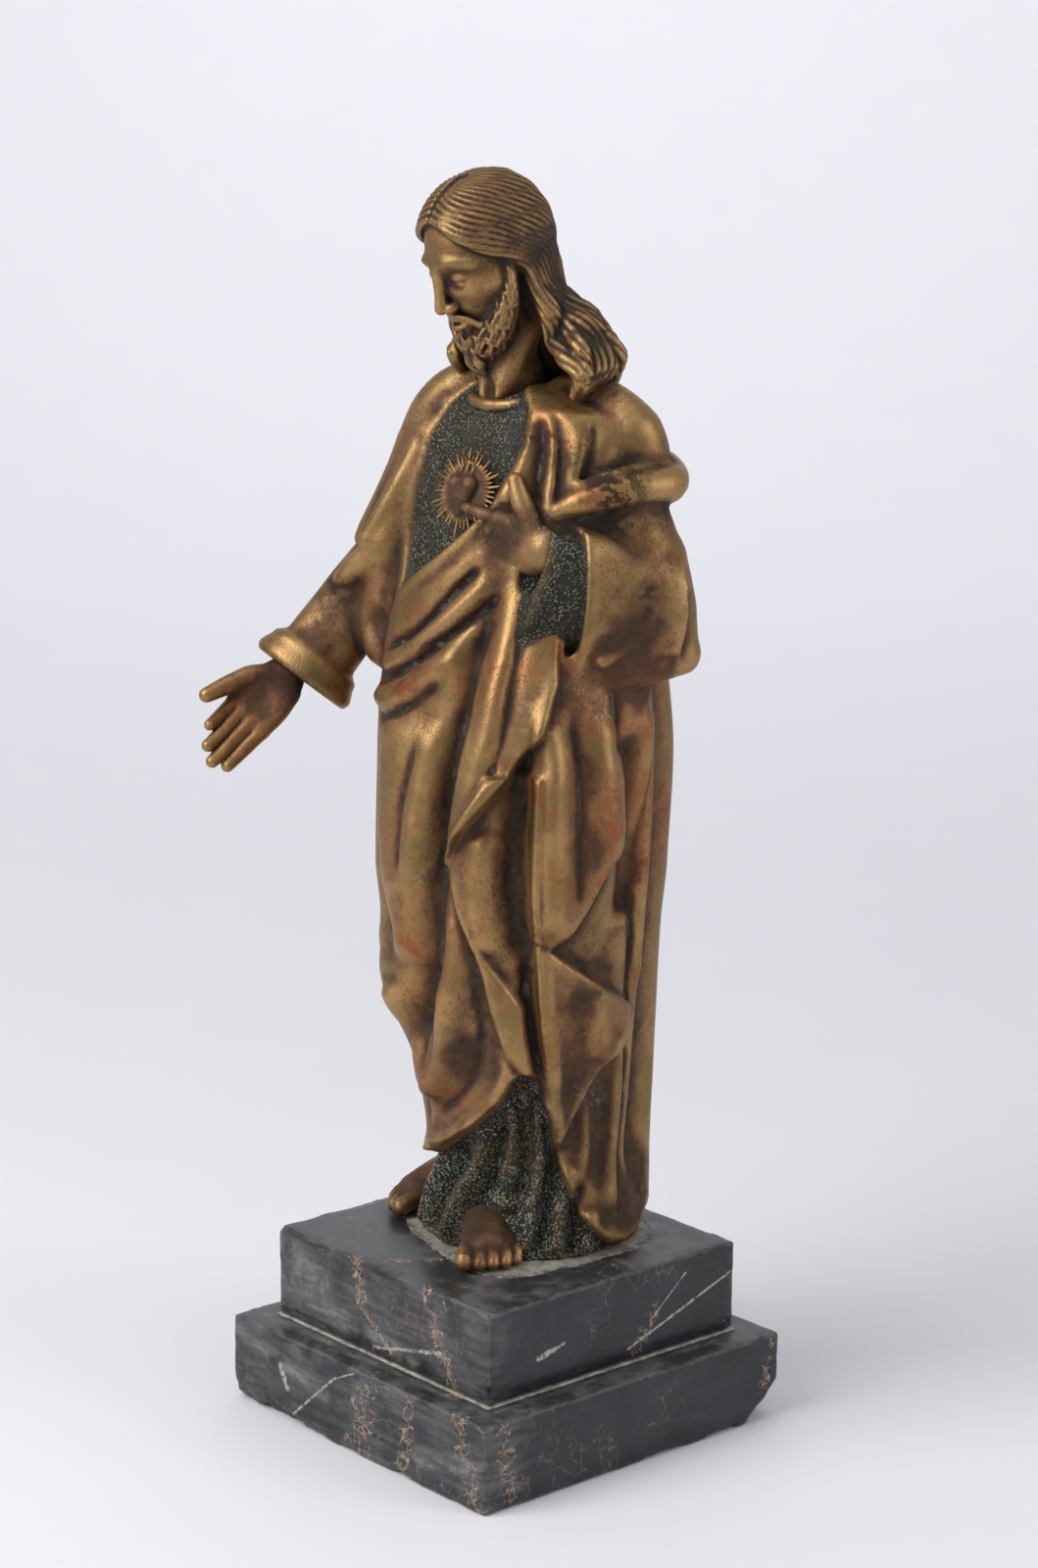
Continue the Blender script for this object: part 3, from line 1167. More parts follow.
@lru_cache(maxsize=None)
def casting():
    """Every part of the casting by its name, in the design frame."""
    parts = [
        Part("cast_robes", sculpt_body(robes()), (-102, -72, -2), (84, 70, 362), 1.25, 2.6, 196000),
        Part("cast_head", sculpt_head(), (-40, -56, 334), (56, 46, 434), 0.62, 1.3, 190000),
        Part("cast_right_hand", sculpt_hand(RIGHT_HAND), (-98, -108, 184), (-56, -24, 256), 0.6, 1.5, 40000),
        Part("cast_left_hand", sculpt_hand(LEFT_HAND), (-8, -48, 270), (66, 6, 328), 0.6, 1.5, 40000),
        Part("cast_emblem", sculpt_emblem(), (-20, -60, 284), (32, -15, 336), 0.45, 1.0, 24000),
    ]
    for (x, y), turned, mirrored in FEET:
        name = "cast_left_foot" if mirrored > 0 else "cast_right_foot"
        form = sculpt_foot((x, y), turned, mirrored)
        parts.append(Part(name, form, (x - 34, y - 30, -2), (x + 34, y + 42, 30), 0.8, 1.6, 20000))
    for part in parts:
        ground = Piece((-FAR, -FAR, -FAR), (FAR, FAR, 2), lambda points: points[:, 2])
        part.form.carve(Shape([ground]), 0.2)
    return {part.name: part for part in parts}


@lru_cache(maxsize=None)
def whole_fullness():
    """How full the space round the whole figure is, for the wide hollows."""
    low = np.array(WHOLE_BOX[0], float)
    counts = np.ceil((np.array(WHOLE_BOX[1]) - low) / WHOLE_CELL).astype(int) + 1
    values = np.full(counts, FAR, np.float32)
    for part in casting().values():
        values = np.minimum(values, part.form.on_grid(low, WHOLE_CELL, counts))
    return Fullness(values, low, WHOLE_CELL, WIDE_RADIUS)


def new_mesh(name, places, faces):
    """A smooth-shaded object from places in millimetres above the floor."""
    mesh = bpy.data.meshes.new(name)
    mesh.from_pydata((places * MILLIMETRE).tolist(), [], faces)
    mesh.validate()
    mesh.shade_smooth()
    made = bpy.data.objects.new(name, mesh)
    bpy.context.scene.collection.objects.link(made)
    return made


def thinned(piece, triangles):
    """Folds up the piece's least needed edges until it has about that many triangles."""
    count = 2 * len(piece.data.polygons)
    if count > triangles:
        modifier = piece.modifiers.new("thin", "DECIMATE")
        modifier.ratio = triangles / count
        dense = piece.data
        folded = piece.evaluated_get(bpy.context.evaluated_depsgraph_get())
        piece.data = bpy.data.meshes.new_from_object(folded)
        piece.modifiers.clear()
        piece.data.name = piece.name
        bpy.data.meshes.remove(dense)
        piece.data.shade_smooth()
    return piece


def places_of(piece):
    """The piece's vertices in millimetres above the floor."""
    places = np.empty(3 * len(piece.data.vertices), np.float32)
    piece.data.vertices.foreach_get("co", places)
    return places.reshape(-1, 3).astype(float) / MILLIMETRE


def mark(piece, name, values):
    """Stores a number for each vertex, for the materials to read."""
    attribute = piece.data.attributes.new(name, "FLOAT", "POINT")
    attribute.data.foreach_set("value", np.asarray(values, np.float32))


def casting_place():
    """The height of the casting's underside, and millimetres for each design unit."""
    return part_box("cast_figure")[0].z / MILLIMETRE, CAST_HEIGHT / DESIGN_HEIGHT


def cast(name):
    """Meshes one part of the casting, marks its hollows and cloth, and seats it on the plinth."""
    part = casting()[name]
    base, unit = casting_place()
    places, quads, values = mesh_field(part.form, part.low, part.high, part.cell)
    low, high = (np.array(corner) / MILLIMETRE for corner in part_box("cast_figure"))
    placed = np.clip(places * unit + (0, 0, base), low, high)
    piece = thinned(new_mesh(name, placed, quads.tolist()), part.triangles)
    spots = (places_of(piece) - (0, 0, base)) / unit
    fine = Fullness(values, np.array(part.low, float), part.cell, part.fine_radius)
    mark(piece, "crevice", fine.at(spots))
    mark(piece, "hollow", whole_fullness().at(spots))
    mark(piece, "stippled", stippling(name, spots))
    mark(piece, "hair", hair_cover(name, spots))
    for stain, patches in PATCHES.items():
        mark(piece, stain, patch_cover(patches, spots))
    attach(piece, "root")
    piece.data.materials.append(bpy.data.materials.get("rubbed_brass") or rubbed_brass())
    return piece


def stippling(name, spots):
    """Where the cloth is the stippled robe under the mantle."""
    if name != "cast_robes":
        return np.zeros(len(spots))
    row, column, away = robes().spot(spots)
    on_robes = 1 - smooth(away - robes().read(robes().radius, row, column), 2.5, 4)
    cuff = Sculpture()
    cuff.add(sleeve(*LEFT_CUFF_ENDS, LEFT_CUFF_SIDE, LEFT_CUFF))
    for lobe in LEFT_CUFF_LOBES:
        cuff.add(tube(lobe), 2)
    sleeve_mouth = 1 - smooth(cuff.at(spots, 4), 0.9, 1.6)
    return np.maximum(np.clip(robes().read(robes().stippled, row, column), 0, 1) * on_robes, sleeve_mouth)


def hair_cover(name, spots):
    """Where the head is covered in hair or beard."""
    if name != "cast_head":
        return np.zeros(len(spots))
    hair = Sculpture()
    sculpt_beard(hair)
    sculpt_hair(hair)
    return 1 - smooth(hair.at(spots, 3), 0.15, 0.5)


# Worn and stained spots of the casting: place, reach and strength.
PATCHES = {
    "blackened": [
        ((26, -48, 2), 12, 0.5), ((66, -8, 318), 20, 1), ((60, 10, 300), 16, 0.7),
        ((-72, -34, 250), 14, 1), ((12, -44, 300), 6, 0.6), ((43, 10, 343), 6, 1), ((53, 19, 331), 7, 1),
        ((35, -19, 331), 9, 1), ((56, 8, 312), 14, 1), ((56, -23, 161), 5, 1), ((52, -9, 324), 10, 0.6),
        ((70, 6, 270), 10, 0.8), ((6, -36, 309), 22, 0.4), ((-78, -48, 226), 20, 0.8),
        ((-66, -26, 256), 18, 0.8),
    ],
    "coppery": [
        ((66, 4, 232), 22, 1), ((-77, -72, 214), 20, 0.8), ((30, -44, 236), 20, 0.5),
        ((62, 20, 180), 40, 0.8), ((48, -18, 250), 16, 0.8), ((-50, -24, 262), 18, 0.9),
        ((10, -44, 130), 30, 0.4), ((63, -7, 189), 24, 1), ((59, -13, 231), 14, 0.8),
        ((-11, -50, 174), 16, 0.6), ((55, 17, 289), 18, 0.7), ((3, -36, 66), 26, 0.7),
        ((52, -17, 98), 20, 0.5), ((19, -25, 326), 8, 1), ((35, -14, 338), 14, 0.6),
        ((56, 9, 271), 16, 1), ((58, -19, 161), 16, 0.5), ((1, -48, 234), 16, 0.5),
    ],
    "bloomed": [
        ((66, -2, 232), 9, 1), ((56, -20, 60), 14, 0.5), ((60, -7, 230), 9, 1), ((58, 2, 108), 8, 0.8),
        ((52, -1, 71), 12, 0.5), ((56, -16, 239), 6, 0.7), ((9, -33, 48), 8, 0.4),
        ((46, -24, 300), 7, 0.8), ((26, -56, 2), 14, 0.45), ((-48, -36, 2), 12, 0.45),
    ],
    "browned": [
        ((66, 0, 256), 16, 1), ((56, 0, 60), 34, 0.9), ((-74, -44, 234), 16, 1), ((-82, -80, 225), 9, 1),
        ((36, -27, 303), 11, 1), ((6, -34, 309), 24, 1), ((40, -16, 322), 12, 0.8),
        ((56, -34, 10), 30, 1), ((53, 27, 263), 15, 1), ((60, 11, 240), 16, 1), ((47, 26, 19), 24, 1),
        ((62, 15, 156), 14, 0.9), ((60, -17, 175), 12, 0.8), ((21, -41, 89), 16, 0.7),
        ((58, -7, 118), 14, 0.8), ((33, -19, 332), 8, 1), ((-32, -40, 232), 10, 0.8),
        ((3, -45, 250), 8, 0.6), ((35, -41, 119), 12, 0.7), ((61, -15, 205), 10, 0.7),
        ((-44, -6, 300), 18, 0.7), ((26, -38, 298), 18, 0.8), ((-80, -52, 222), 24, 1),
        ((22, -40, 6), 30, 1), ((-48, -18, 6), 26, 1),
    ],
    "polished": [
        ((40, -41, 209), 18, 1), ((55, -27, 175), 16, 1), ((26, -44, 234), 12, 1),
        ((0, -49, 219), 16, 0.5), ((-23, -47, 151), 20, 0.6), ((42, -5, 342), 14, 0.5),
        ((57, -2, 257), 12, 0.6), ((1, -36, 70), 12, 0.4),
    ],
}


def patch_cover(patches, spots):
    """How much each spot is covered by soft patches with ragged borders."""
    cover = np.zeros(len(spots))
    ragged = 0.5 * wavy(spots, 9, 5) + 0.3 * wavy(spots, 4, 6)
    for place, reach, strength in patches:
        away = np.linalg.norm(spots - np.array(place), axis=1) / reach
        cover = np.maximum(cover, strength * (1 - smooth(away + 0.5 * ragged, 0.35, 1.15)))
    return cover


# Stones, mortar and plaster.

def rounded_box(low, high, rounding):
    """The distance to a box with rounded edges and worn arrises."""
    middle = (low + high) / 2
    half = (high - low) / 2 - rounding

    def distance(points):
        past = np.abs(points - middle) - half
        outside = np.sqrt(np.sum(np.maximum(past, 0) ** 2, axis=1))
        near_edge = smooth(np.sort(past, axis=1)[:, 1], -4, 0)
        worn = near_edge * (0.25 + 0.3 * wavy(points, 7, 11) + 0.2 * wavy(points, 2.6, 12))
        return outside + np.minimum(past.max(axis=1), 0) - rounding + np.maximum(worn, 0)

    return Shape([Piece(low, high, distance)])


def chip(place, radii, seed):
    """A ragged bite out of a stone."""
    radii = np.array(radii, float)
    place = np.array(place, float)

    def distance(points):
        away = (points - place) / radii
        length = np.sqrt(np.sum(away * away, axis=1))
        ragged = 0.22 * wavy(points, 2.4, seed) + 0.3 * wavy(points, 5.5, seed + 1)
        return (length - 1 + ragged) * radii.min()

    return Shape([Piece(place - 1.6 * radii, place + 1.6 * radii, distance)])


def broken_corner(corner, reach, seed):
    """The part of a stone beyond a ragged plane that cuts off one corner."""
    corner = np.array(corner, float)
    reach = np.array(reach, float)
    normal = 1 / reach

    def distance(points):
        past = (points - corner) @ normal - 1
        ragged = 0.05 * wavy(points, 3, seed) + 0.09 * wavy(points, 8, seed + 1)
        return (past + ragged) / np.linalg.norm(normal)

    low = np.minimum(corner, corner + reach) - 6
    high = np.maximum(corner, corner + reach) + 6
    return Shape([Piece(low, high, distance)])


# Chips along the blocks' edges: block, place as shares of its half sides and height, and radii.
CHIPS = [
    ("lower_marble_block", (-0.93, -1.0, 0.0), (12, 3, 4)),
    ("lower_marble_block", (-0.62, -1.0, 0.0), (16, 3.4, 5.5)),
    ("lower_marble_block", (-0.35, -1.0, 0.0), (10, 2.4, 3)),
    ("lower_marble_block", (-0.05, -1.0, 0.0), (8, 2, 2)),
    ("lower_marble_block", (0.35, -1.0, 0.0), (7, 2, 2.2)),
    ("lower_marble_block", (1.0, -1.0, 1.0), (4, 4, 3)),
    ("lower_marble_block", (1.0, -0.99, 0.45), (2, 2, 5)),
    ("lower_marble_block", (1.0, 0.2, 0.0), (2, 12, 2)),
    ("lower_marble_block", (1.0, 0.62, 0.0), (2.4, 12, 2.4)),
    ("lower_marble_block", (-1.0, -1.0, 0.1), (3, 3, 5)),
    ("lower_marble_block", (-1.0, 0.4, 1.0), (3, 7, 2)),
    ("lower_marble_block", (0.3, 1.0, 1.0), (6, 3, 2)),
    ("upper_marble_block", (1.0, -1.0, 1.0), (2.6, 2.6, 2.6)),
    ("upper_marble_block", (1.0, -1.0, 0.12), (2, 2, 5)),
    ("upper_marble_block", (-1.0, -1.0, 1.0), (2.4, 2.4, 2)),
    ("upper_marble_block", (-0.4, 1.0, 1.0), (5, 2, 2)),
]


# How far the broken corner of the lower block reaches along its edges, in millimetres.
BROKEN_CORNER = (-13, -21, 18)
STONE_CELL = 1.0


def cut_block(name, rounding, broken=None):
    """One marble block, worn, chipped and broken as it is."""
    low, high = (np.array(corner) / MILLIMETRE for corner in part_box(name))
    stone = Sculpture()
    stone.add(rounded_box(low, high, rounding))
    for number, (block, share, radii) in enumerate(CHIPS):
        if block == name:
            place = mix(low, high, (np.array(share) + (1, 1, 0)) / (2, 2, 1))
            stone.carve(chip(place, radii, 20 + number), 0.3)
    if broken:
        stone.carve(broken_corner((high[0], high[1], low[2]), broken, 60), 0.4)
    margin = 2 * STONE_CELL
    places, quads, values = mesh_field(stone, low - margin, high + margin, STONE_CELL)
    block = new_mesh(name + "_worn", np.clip(places, low, high), quads.tolist())
    mark(block, "crevice", Fullness(values, low - margin, STONE_CELL, 2).at(places_of(block)))
    finish_stone(block, name, worn_marble)
    return block


def finish_stone(piece, node, paint):
    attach(piece, "root")
    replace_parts(piece, node)
    piece.data.materials.append(bpy.data.materials.get(paint.__name__) or paint())


def lofted(name, rings):
    """A closed mesh through rings of points, capped at both ends."""
    rings = np.array(rings, float)
    count = rings.shape[1]
    places = np.concatenate([rings.reshape(-1, 3), rings[:1].mean(axis=1), rings[-1:].mean(axis=1)])
    faces = []
    for k in range(len(rings) - 1):
        for i in range(count):
            j = (i + 1) % count
            faces.append([k * count + i, k * count + j, (k + 1) * count + j, (k + 1) * count + i])
    last = (len(rings) - 1) * count
    for i in range(count):
        j = (i + 1) % count
        faces.append([j, i, len(places) - 2])
        faces.append([last + i, last + j, len(places) - 1])
    return new_mesh(name, places, faces)


MORTAR_STEPS = 480
# The joint's sides: share of its height, and how far in it lies.
MORTAR_PROFILE = ((0, 0.35), (0.45, 0), (1, 0.5))


def lay_mortar(overhang_wear):
    """The thin joint between the blocks, squeezed out unevenly all round."""
    low, high = (np.array(corner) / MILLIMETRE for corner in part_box("mortar_joint"))
    middle = (low + high) / 2
    half = (high - low)[:2] / 2
    angles = np.linspace(0, 2 * math.pi, MORTAR_STEPS, endpoint=False)
    square = np.stack([np.sin(angles), -np.cos(angles)], axis=1)
    square /= np.abs(square).max(axis=1)[:, None]
    rings = []
    for share, inset in MORTAR_PROFILE:
        z = np.full(len(angles), mix(low[2], high[2], share))
        spot = np.column_stack([middle[:2] + square * half, z])
        squeezed = inset + overhang_wear * (0.5 + 0.5 * wavy(spot, 3.5, 31))
        squeezed = squeezed + 0.25 * (1 + wavy(spot, 1.4, 32))
        flat = middle[:2] + square * (half - squeezed[:, None])
        rings.append(np.column_stack([flat, z]))
    joint = lofted("mortar_joint_squeezed", rings)
    finish_stone(joint, "mortar_joint", setting_plaster)
    return joint


PLASTER_STEPS = 360
PLASTER_RAGGEDNESS = 1.2
# The bed from its rim to its middle: share of its width, and share of its height.
PLASTER_PROFILE = ((1, 0), (1, 0.12), (0.985, 0.35), (0.965, 0.6), (0.94, 0.8), (0.91, 0.9), (0.87, 0.95),
                   (0.8, 1), (0.6, 1))
# Where the toes push it outward: angle from the front, reach and width in degrees.
PLASTER_TOES = ((38, 14, 20), (-62, 9, 16))


def lay_plaster(raggedness):
    """The setting plaster round the feet and hem, feathered out over the block."""
    low, high = (np.array(corner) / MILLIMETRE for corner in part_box("plaster_bed"))
    _, unit = casting_place()
    _, right, left, front, back = ROBE_SECTIONS[0]
    angles = np.linspace(0, 2 * math.pi, PLASTER_STEPS, endpoint=False)
    degrees = np.degrees(angles)
    toes = 0
    for middle, reach, width in PLASTER_TOES:
        toes = toes + reach * np.exp(-((turn(degrees - middle) / width) ** 2))
    reach = 3.6 + 1.2 * np.sin(3 * angles + 1) + 0.9 * np.sin(7 * angles) + toes
    rings = []
    for share, height in PLASTER_PROFILE:
        x = (right + left) / 2 + ((left - right) / 2 + reach) * np.sin(angles) * share
        y = (front + back) / 2 - ((back - front) / 2 + reach) * np.cos(angles) * share
        z = np.full(len(angles), mix(low[2], high[2], height))
        spot = np.column_stack([x, y, z])
        ragged = raggedness * (wavy(spot, 6, 41) + 0.6 * wavy(spot, 2.2, 42) - 1.6) * (share > 0.7)
        away = spot[:, :2] / np.linalg.norm(spot[:, :2], axis=1)[:, None]
        z = mix(z, low[2], (0.25 + 0.25 * wavy(spot, 3.2, 43)) * (height > 0))
        rings.append(np.column_stack([spot[:, :2] * unit + away * ragged[:, None], z]))
    bed = lofted("plaster_bed_ragged", rings)
    finish_stone(bed, "plaster_bed", setting_plaster)
    return bed


# Materials.

class Flow:
    """A number socket of a material. Maths on it adds Math nodes."""

    def __init__(self, paint, socket):
        self.paint = paint
        self.socket = socket

    def maths(self, operation, *values):
        inputs = dict(enumerate(values))
        return self.paint.node("ShaderNodeMath", {"operation": operation}, inputs)

    def __add__(self, other):
        return self.maths("ADD", self, other)

    def __radd__(self, other):
        return self.maths("ADD", other, self)

    def __sub__(self, other):
        return self.maths("SUBTRACT", self, other)

    def __rsub__(self, other):
        return self.maths("SUBTRACT", other, self)

    def __mul__(self, other):
        return self.maths("MULTIPLY", self, other)

    def __rmul__(self, other):
        return self.maths("MULTIPLY", other, self)

    def __truediv__(self, other):
        return self.maths("DIVIDE", self, other)

    def most(self, other):
        return self.maths("MAXIMUM", self, other)

    def least(self, other):
        return self.maths("MINIMUM", self, other)

    def rise(self, low, high):
        """0 below low, 1 above high, along an S between. It falls where high is the lower one."""
        settings = {"interpolation_type": "SMOOTHSTEP", "clamp": True}
        inputs = {"Value": self, "From Min": low, "From Max": high}
        return self.paint.node("ShaderNodeMapRange", settings, inputs)


class Paint:
    """One material's node tree. Sizes given to its textures are in millimetres, and a colour is given
    by its name in the look."""

    def __init__(self, name, look):
        self.look = look
        self.material = bpy.data.materials.new(name)
        self.material.use_nodes = True
        self.tree = self.material.node_tree
        self.tree.nodes.clear()
        self.place = self.node("ShaderNodeTexCoord", {}, {}, "Object")

    def node(self, kind, settings, inputs, output=0):
        """Adds a node: its settings first, then the values or links of its sockets."""
        made = self.tree.nodes.new(kind)
        for key, value in settings.items():
            setattr(made, key, value)
        for key, value in inputs.items():
            socket = made.inputs[key]
            if isinstance(value, Flow):
                self.tree.links.new(value.socket, socket)
            elif isinstance(value, tuple) and socket.type == "RGBA":
                socket.default_value = (*value[:3], 1)
            else:
                socket.default_value = value
        return Flow(self, made.outputs[output]) if made.outputs else None

    def read(self, name):
        """A number marked on the mesh."""
        return self.node("ShaderNodeAttribute", {"attribute_name": name}, {}, "Fac")

    def noise(self, size, detail=3.0, roughness=0.55, warp=0.0, place=None, output="Fac"):
        inputs = {"Vector": place or self.place, "Scale": 1 / (size * MILLIMETRE), "Detail": detail,
                  "Roughness": roughness, "Distortion": warp}
        return self.node("ShaderNodeTexNoise", {}, inputs, output)

    def cells(self, size, feature="F1", randomness=1.0, place=None):
        inputs = {"Vector": place or self.place, "Scale": 1 / (size * MILLIMETRE), "Randomness": randomness}
        return self.node("ShaderNodeTexVoronoi", {"feature": feature}, inputs, "Distance")

    def mixed(self, factor, a, b):
        """Colour a where factor is 0, colour b where it is 1."""
        a, b = (tuple(getattr(self.look, tone)) if isinstance(tone, str) else tone for tone in (a, b))
        settings = {"data_type": "RGBA", "clamp_factor": True}
        return self.node("ShaderNodeMix", settings, {0: factor, 6: a, 7: b}, 2)

    def vector(self, operation, *values, output=0):
        return self.node("ShaderNodeVectorMath", {"operation": operation}, dict(enumerate(values)), output)

    def scaled(self, vector, scale):
        return self.node("ShaderNodeVectorMath", {"operation": "SCALE"}, {0: vector, "Scale": scale})

    def bump(self, height, depth, under=None):
        """Relief whose height runs from 0 to 1 over a depth in millimetres."""
        inputs = {"Height": height, "Distance": depth * MILLIMETRE, "Strength": 1.0}
        if under:
            inputs["Normal"] = under
        return self.node("ShaderNodeBump", {}, inputs)

    def axis(self, name):
        """A coordinate in millimetres."""
        return self.node("ShaderNodeSeparateXYZ", {}, {0: self.place}, name) / MILLIMETRE

    def streak(self, start, end, width, wander):
        """A thin stroke between two places, in millimetres, that wanders and has ragged sides."""
        a = np.array(start) * MILLIMETRE
        way = (np.array(end) - start) * MILLIMETRE
        from_a = self.vector("SUBTRACT", self.place, tuple(a))
        along = self.vector("DOT_PRODUCT", from_a, tuple(way), output="Value")
        share = self.node("ShaderNodeClamp", {}, {"Value": along / float(way @ way)})
        gap = self.vector("DISTANCE", from_a, self.scaled(tuple(way), share), output="Value")
        return (gap / MILLIMETRE + (wander - 0.5) * width * 3).rise(width, width * 0.3)

    def finish(self, colour, roughness, metallic, normal, **constants):
        inputs = {"Base Color": colour, "Roughness": roughness, "Metallic": metallic, "Normal": normal}
        shader = self.node("ShaderNodeBsdfPrincipled", {}, {**inputs, **constants})
        self.node("ShaderNodeOutputMaterial", {}, {"Surface": shader})
        return self.material


def rubbed_brass():
    """Cast brass, rubbed bright on its raised parts and dark in its folds."""
    look = bpy.context.scene.statuette_metal
    paint = Paint("rubbed_brass", look)
    crevice = paint.read("crevice")
    hollow = paint.read("hollow")
    stippled = paint.read("stippled")
    hair = paint.read("hair")
    polished = paint.read("polished")
    browned = paint.read("browned")
    blackened = paint.read("blackened")
    bloomed = paint.read("bloomed")
    smooth_cloth = (1 - stippled) * (1 - hair)
    cloudy = paint.noise(22, 4, 0.6, 0.3)
    mottled = paint.noise(6, 5, 0.62, 0.4)
    grain = paint.noise(1.1, 3, 0.6)
    fine = paint.noise(0.45, 2, 0.6)

    # Stippling: the robe under the mantle has small raised dots all over, uneven in size.
    dot_size = mottled.rise(0.3, 0.7) * 0.14 + 0.36
    dots = (dot_size - paint.cells(1.15)).rise(-0.06, 0.12)

    # How rubbed each spot is: ridges most, hollows least, uneven with the clouds.
    rubbed = (0.5 - crevice) * 5 * look.wear + (0.53 - hollow) * 2.4 + 0.55
    rubbed = rubbed + (mottled - 0.5) * 0.8 + (cloudy - 0.5) * 1.5 + (grain - 0.5) * 0.6
    rubbed = rubbed + polished * 0.5 - browned * 0.75 - blackened * 0.45 - hair * 0.6 - stippled * 0.95
    bright = rubbed.rise(0.36, 1.1) * (1 - stippled * 0.9)
    dirt = (crevice + (mottled - 0.5) * 0.09).rise(0.55, 0.67)
    dirt = dirt.most((hollow + (mottled - 0.5) * 0.12).rise(0.64, 0.8))

    gold = paint.mixed(cloudy.rise(0.38, 0.66) * (1 - polished * 0.4), "gold", "olive")
    brown = paint.mixed(mottled.rise(0.35, 0.7), "brown", "black")
    cloth_dark = paint.mixed(mottled.rise(0.3, 0.7), "green_black", "black")
    dark = paint.mixed(stippled.most(hair * 0.6), brown, cloth_dark)
    colour = paint.mixed(rubbed.rise(0.12, 0.5) * (1 - stippled * 0.8), dark, "bronze")
    colour = paint.mixed(bright, colour, gold)

    elsewhere = paint.vector("ADD", paint.place, (0.3, 0.1, 0.2))
    reddened = paint.noise(14, 4, 0.65, 0.3, elsewhere).rise(0.52, 0.68) * 0.8
    reddened = (reddened + paint.read("coppery") * mottled.rise(0.3, 0.58)) * smooth_cloth
    colour = paint.mixed(reddened * (0.35 + 0.5 * bright), colour, "copper")
    smoked = blackened * paint.noise(6, 4, 0.62, 0.1).rise(0.46, 0.56)
    colour = paint.mixed(smoked * 0.85, colour, "black")
    purpled = browned * (mottled * 0.5 + cloudy * 0.5).rise(0.38, 0.6) * (1 - bright * 0.5) * (1 - stippled)
    colour = paint.mixed(purpled * 0.8, colour, "purple")
    colour = paint.mixed(dirt * (1 - stippled * 0.8), colour, "soot")
    shown = 0.5 + 0.4 * paint.noise(5, 3, 0.6).rise(0.35, 0.65) + rubbed.rise(-0.2, 0.5) * 0.3
    shown = shown * (0.7 + 0.45 * paint.axis("Z").rise(190, 130))
    dot_tone = paint.mixed(cloudy.rise(0.4, 0.6), "dot_pale", "dot_warm")
    colour = paint.mixed(dots * stippled * shown, colour, dot_tone)

    # Thin lines of pale verdigris in the deepest creases, and a bloom of it in places.
    lodged = (crevice + (grain - 0.5) * 0.1).rise(0.6, 0.7) * paint.noise(12, 3, 0.6).rise(0.5, 0.62)
    lodged = lodged * (1 - hair * 0.8) * (1 - (crevice + (mottled - 0.5) * 0.1).rise(0.7, 0.8))
    bloom = bloomed * paint.noise(2.4, 4, 0.7).rise(0.5, 0.66)
    crusted = (lodged * (0.22 + 0.9 * bloomed)).most(bloom * 0.65)
    verdigris = paint.mixed(mottled.rise(0.4, 0.6), "verdigris", "chalk")
    colour = paint.mixed(crusted, colour, verdigris)

    # A sandy grain and casting pits, dark inside.
    sandy = grain.rise(0.46, 0.34) * paint.noise(17, 3, 0.6).rise(0.4, 0.6)
    pits = (sandy * 0.7).most(paint.cells(1.7).rise(0.16, 0.06) * 0.6) * smooth_cloth
    colour = paint.mixed(pits * 0.5, colour, "soot")

    roughness = 0.64 - bright * 0.2 + dirt * 0.15 + crusted * 0.2 + (grain - 0.5) * 0.22 + smoked * 0.1
    metallic = 0.55 + bright * 0.42 - dirt * 0.3 - crusted * 0.6
    relief = grain * 0.4 + mottled * 0.4 + fine * 0.12 - pits * 0.3 + crusted * 0.2
    normal = paint.bump(relief, 0.28)
    normal = paint.bump(dots * stippled, 0.4, normal)
    return paint.finish(colour, roughness, metallic, normal)


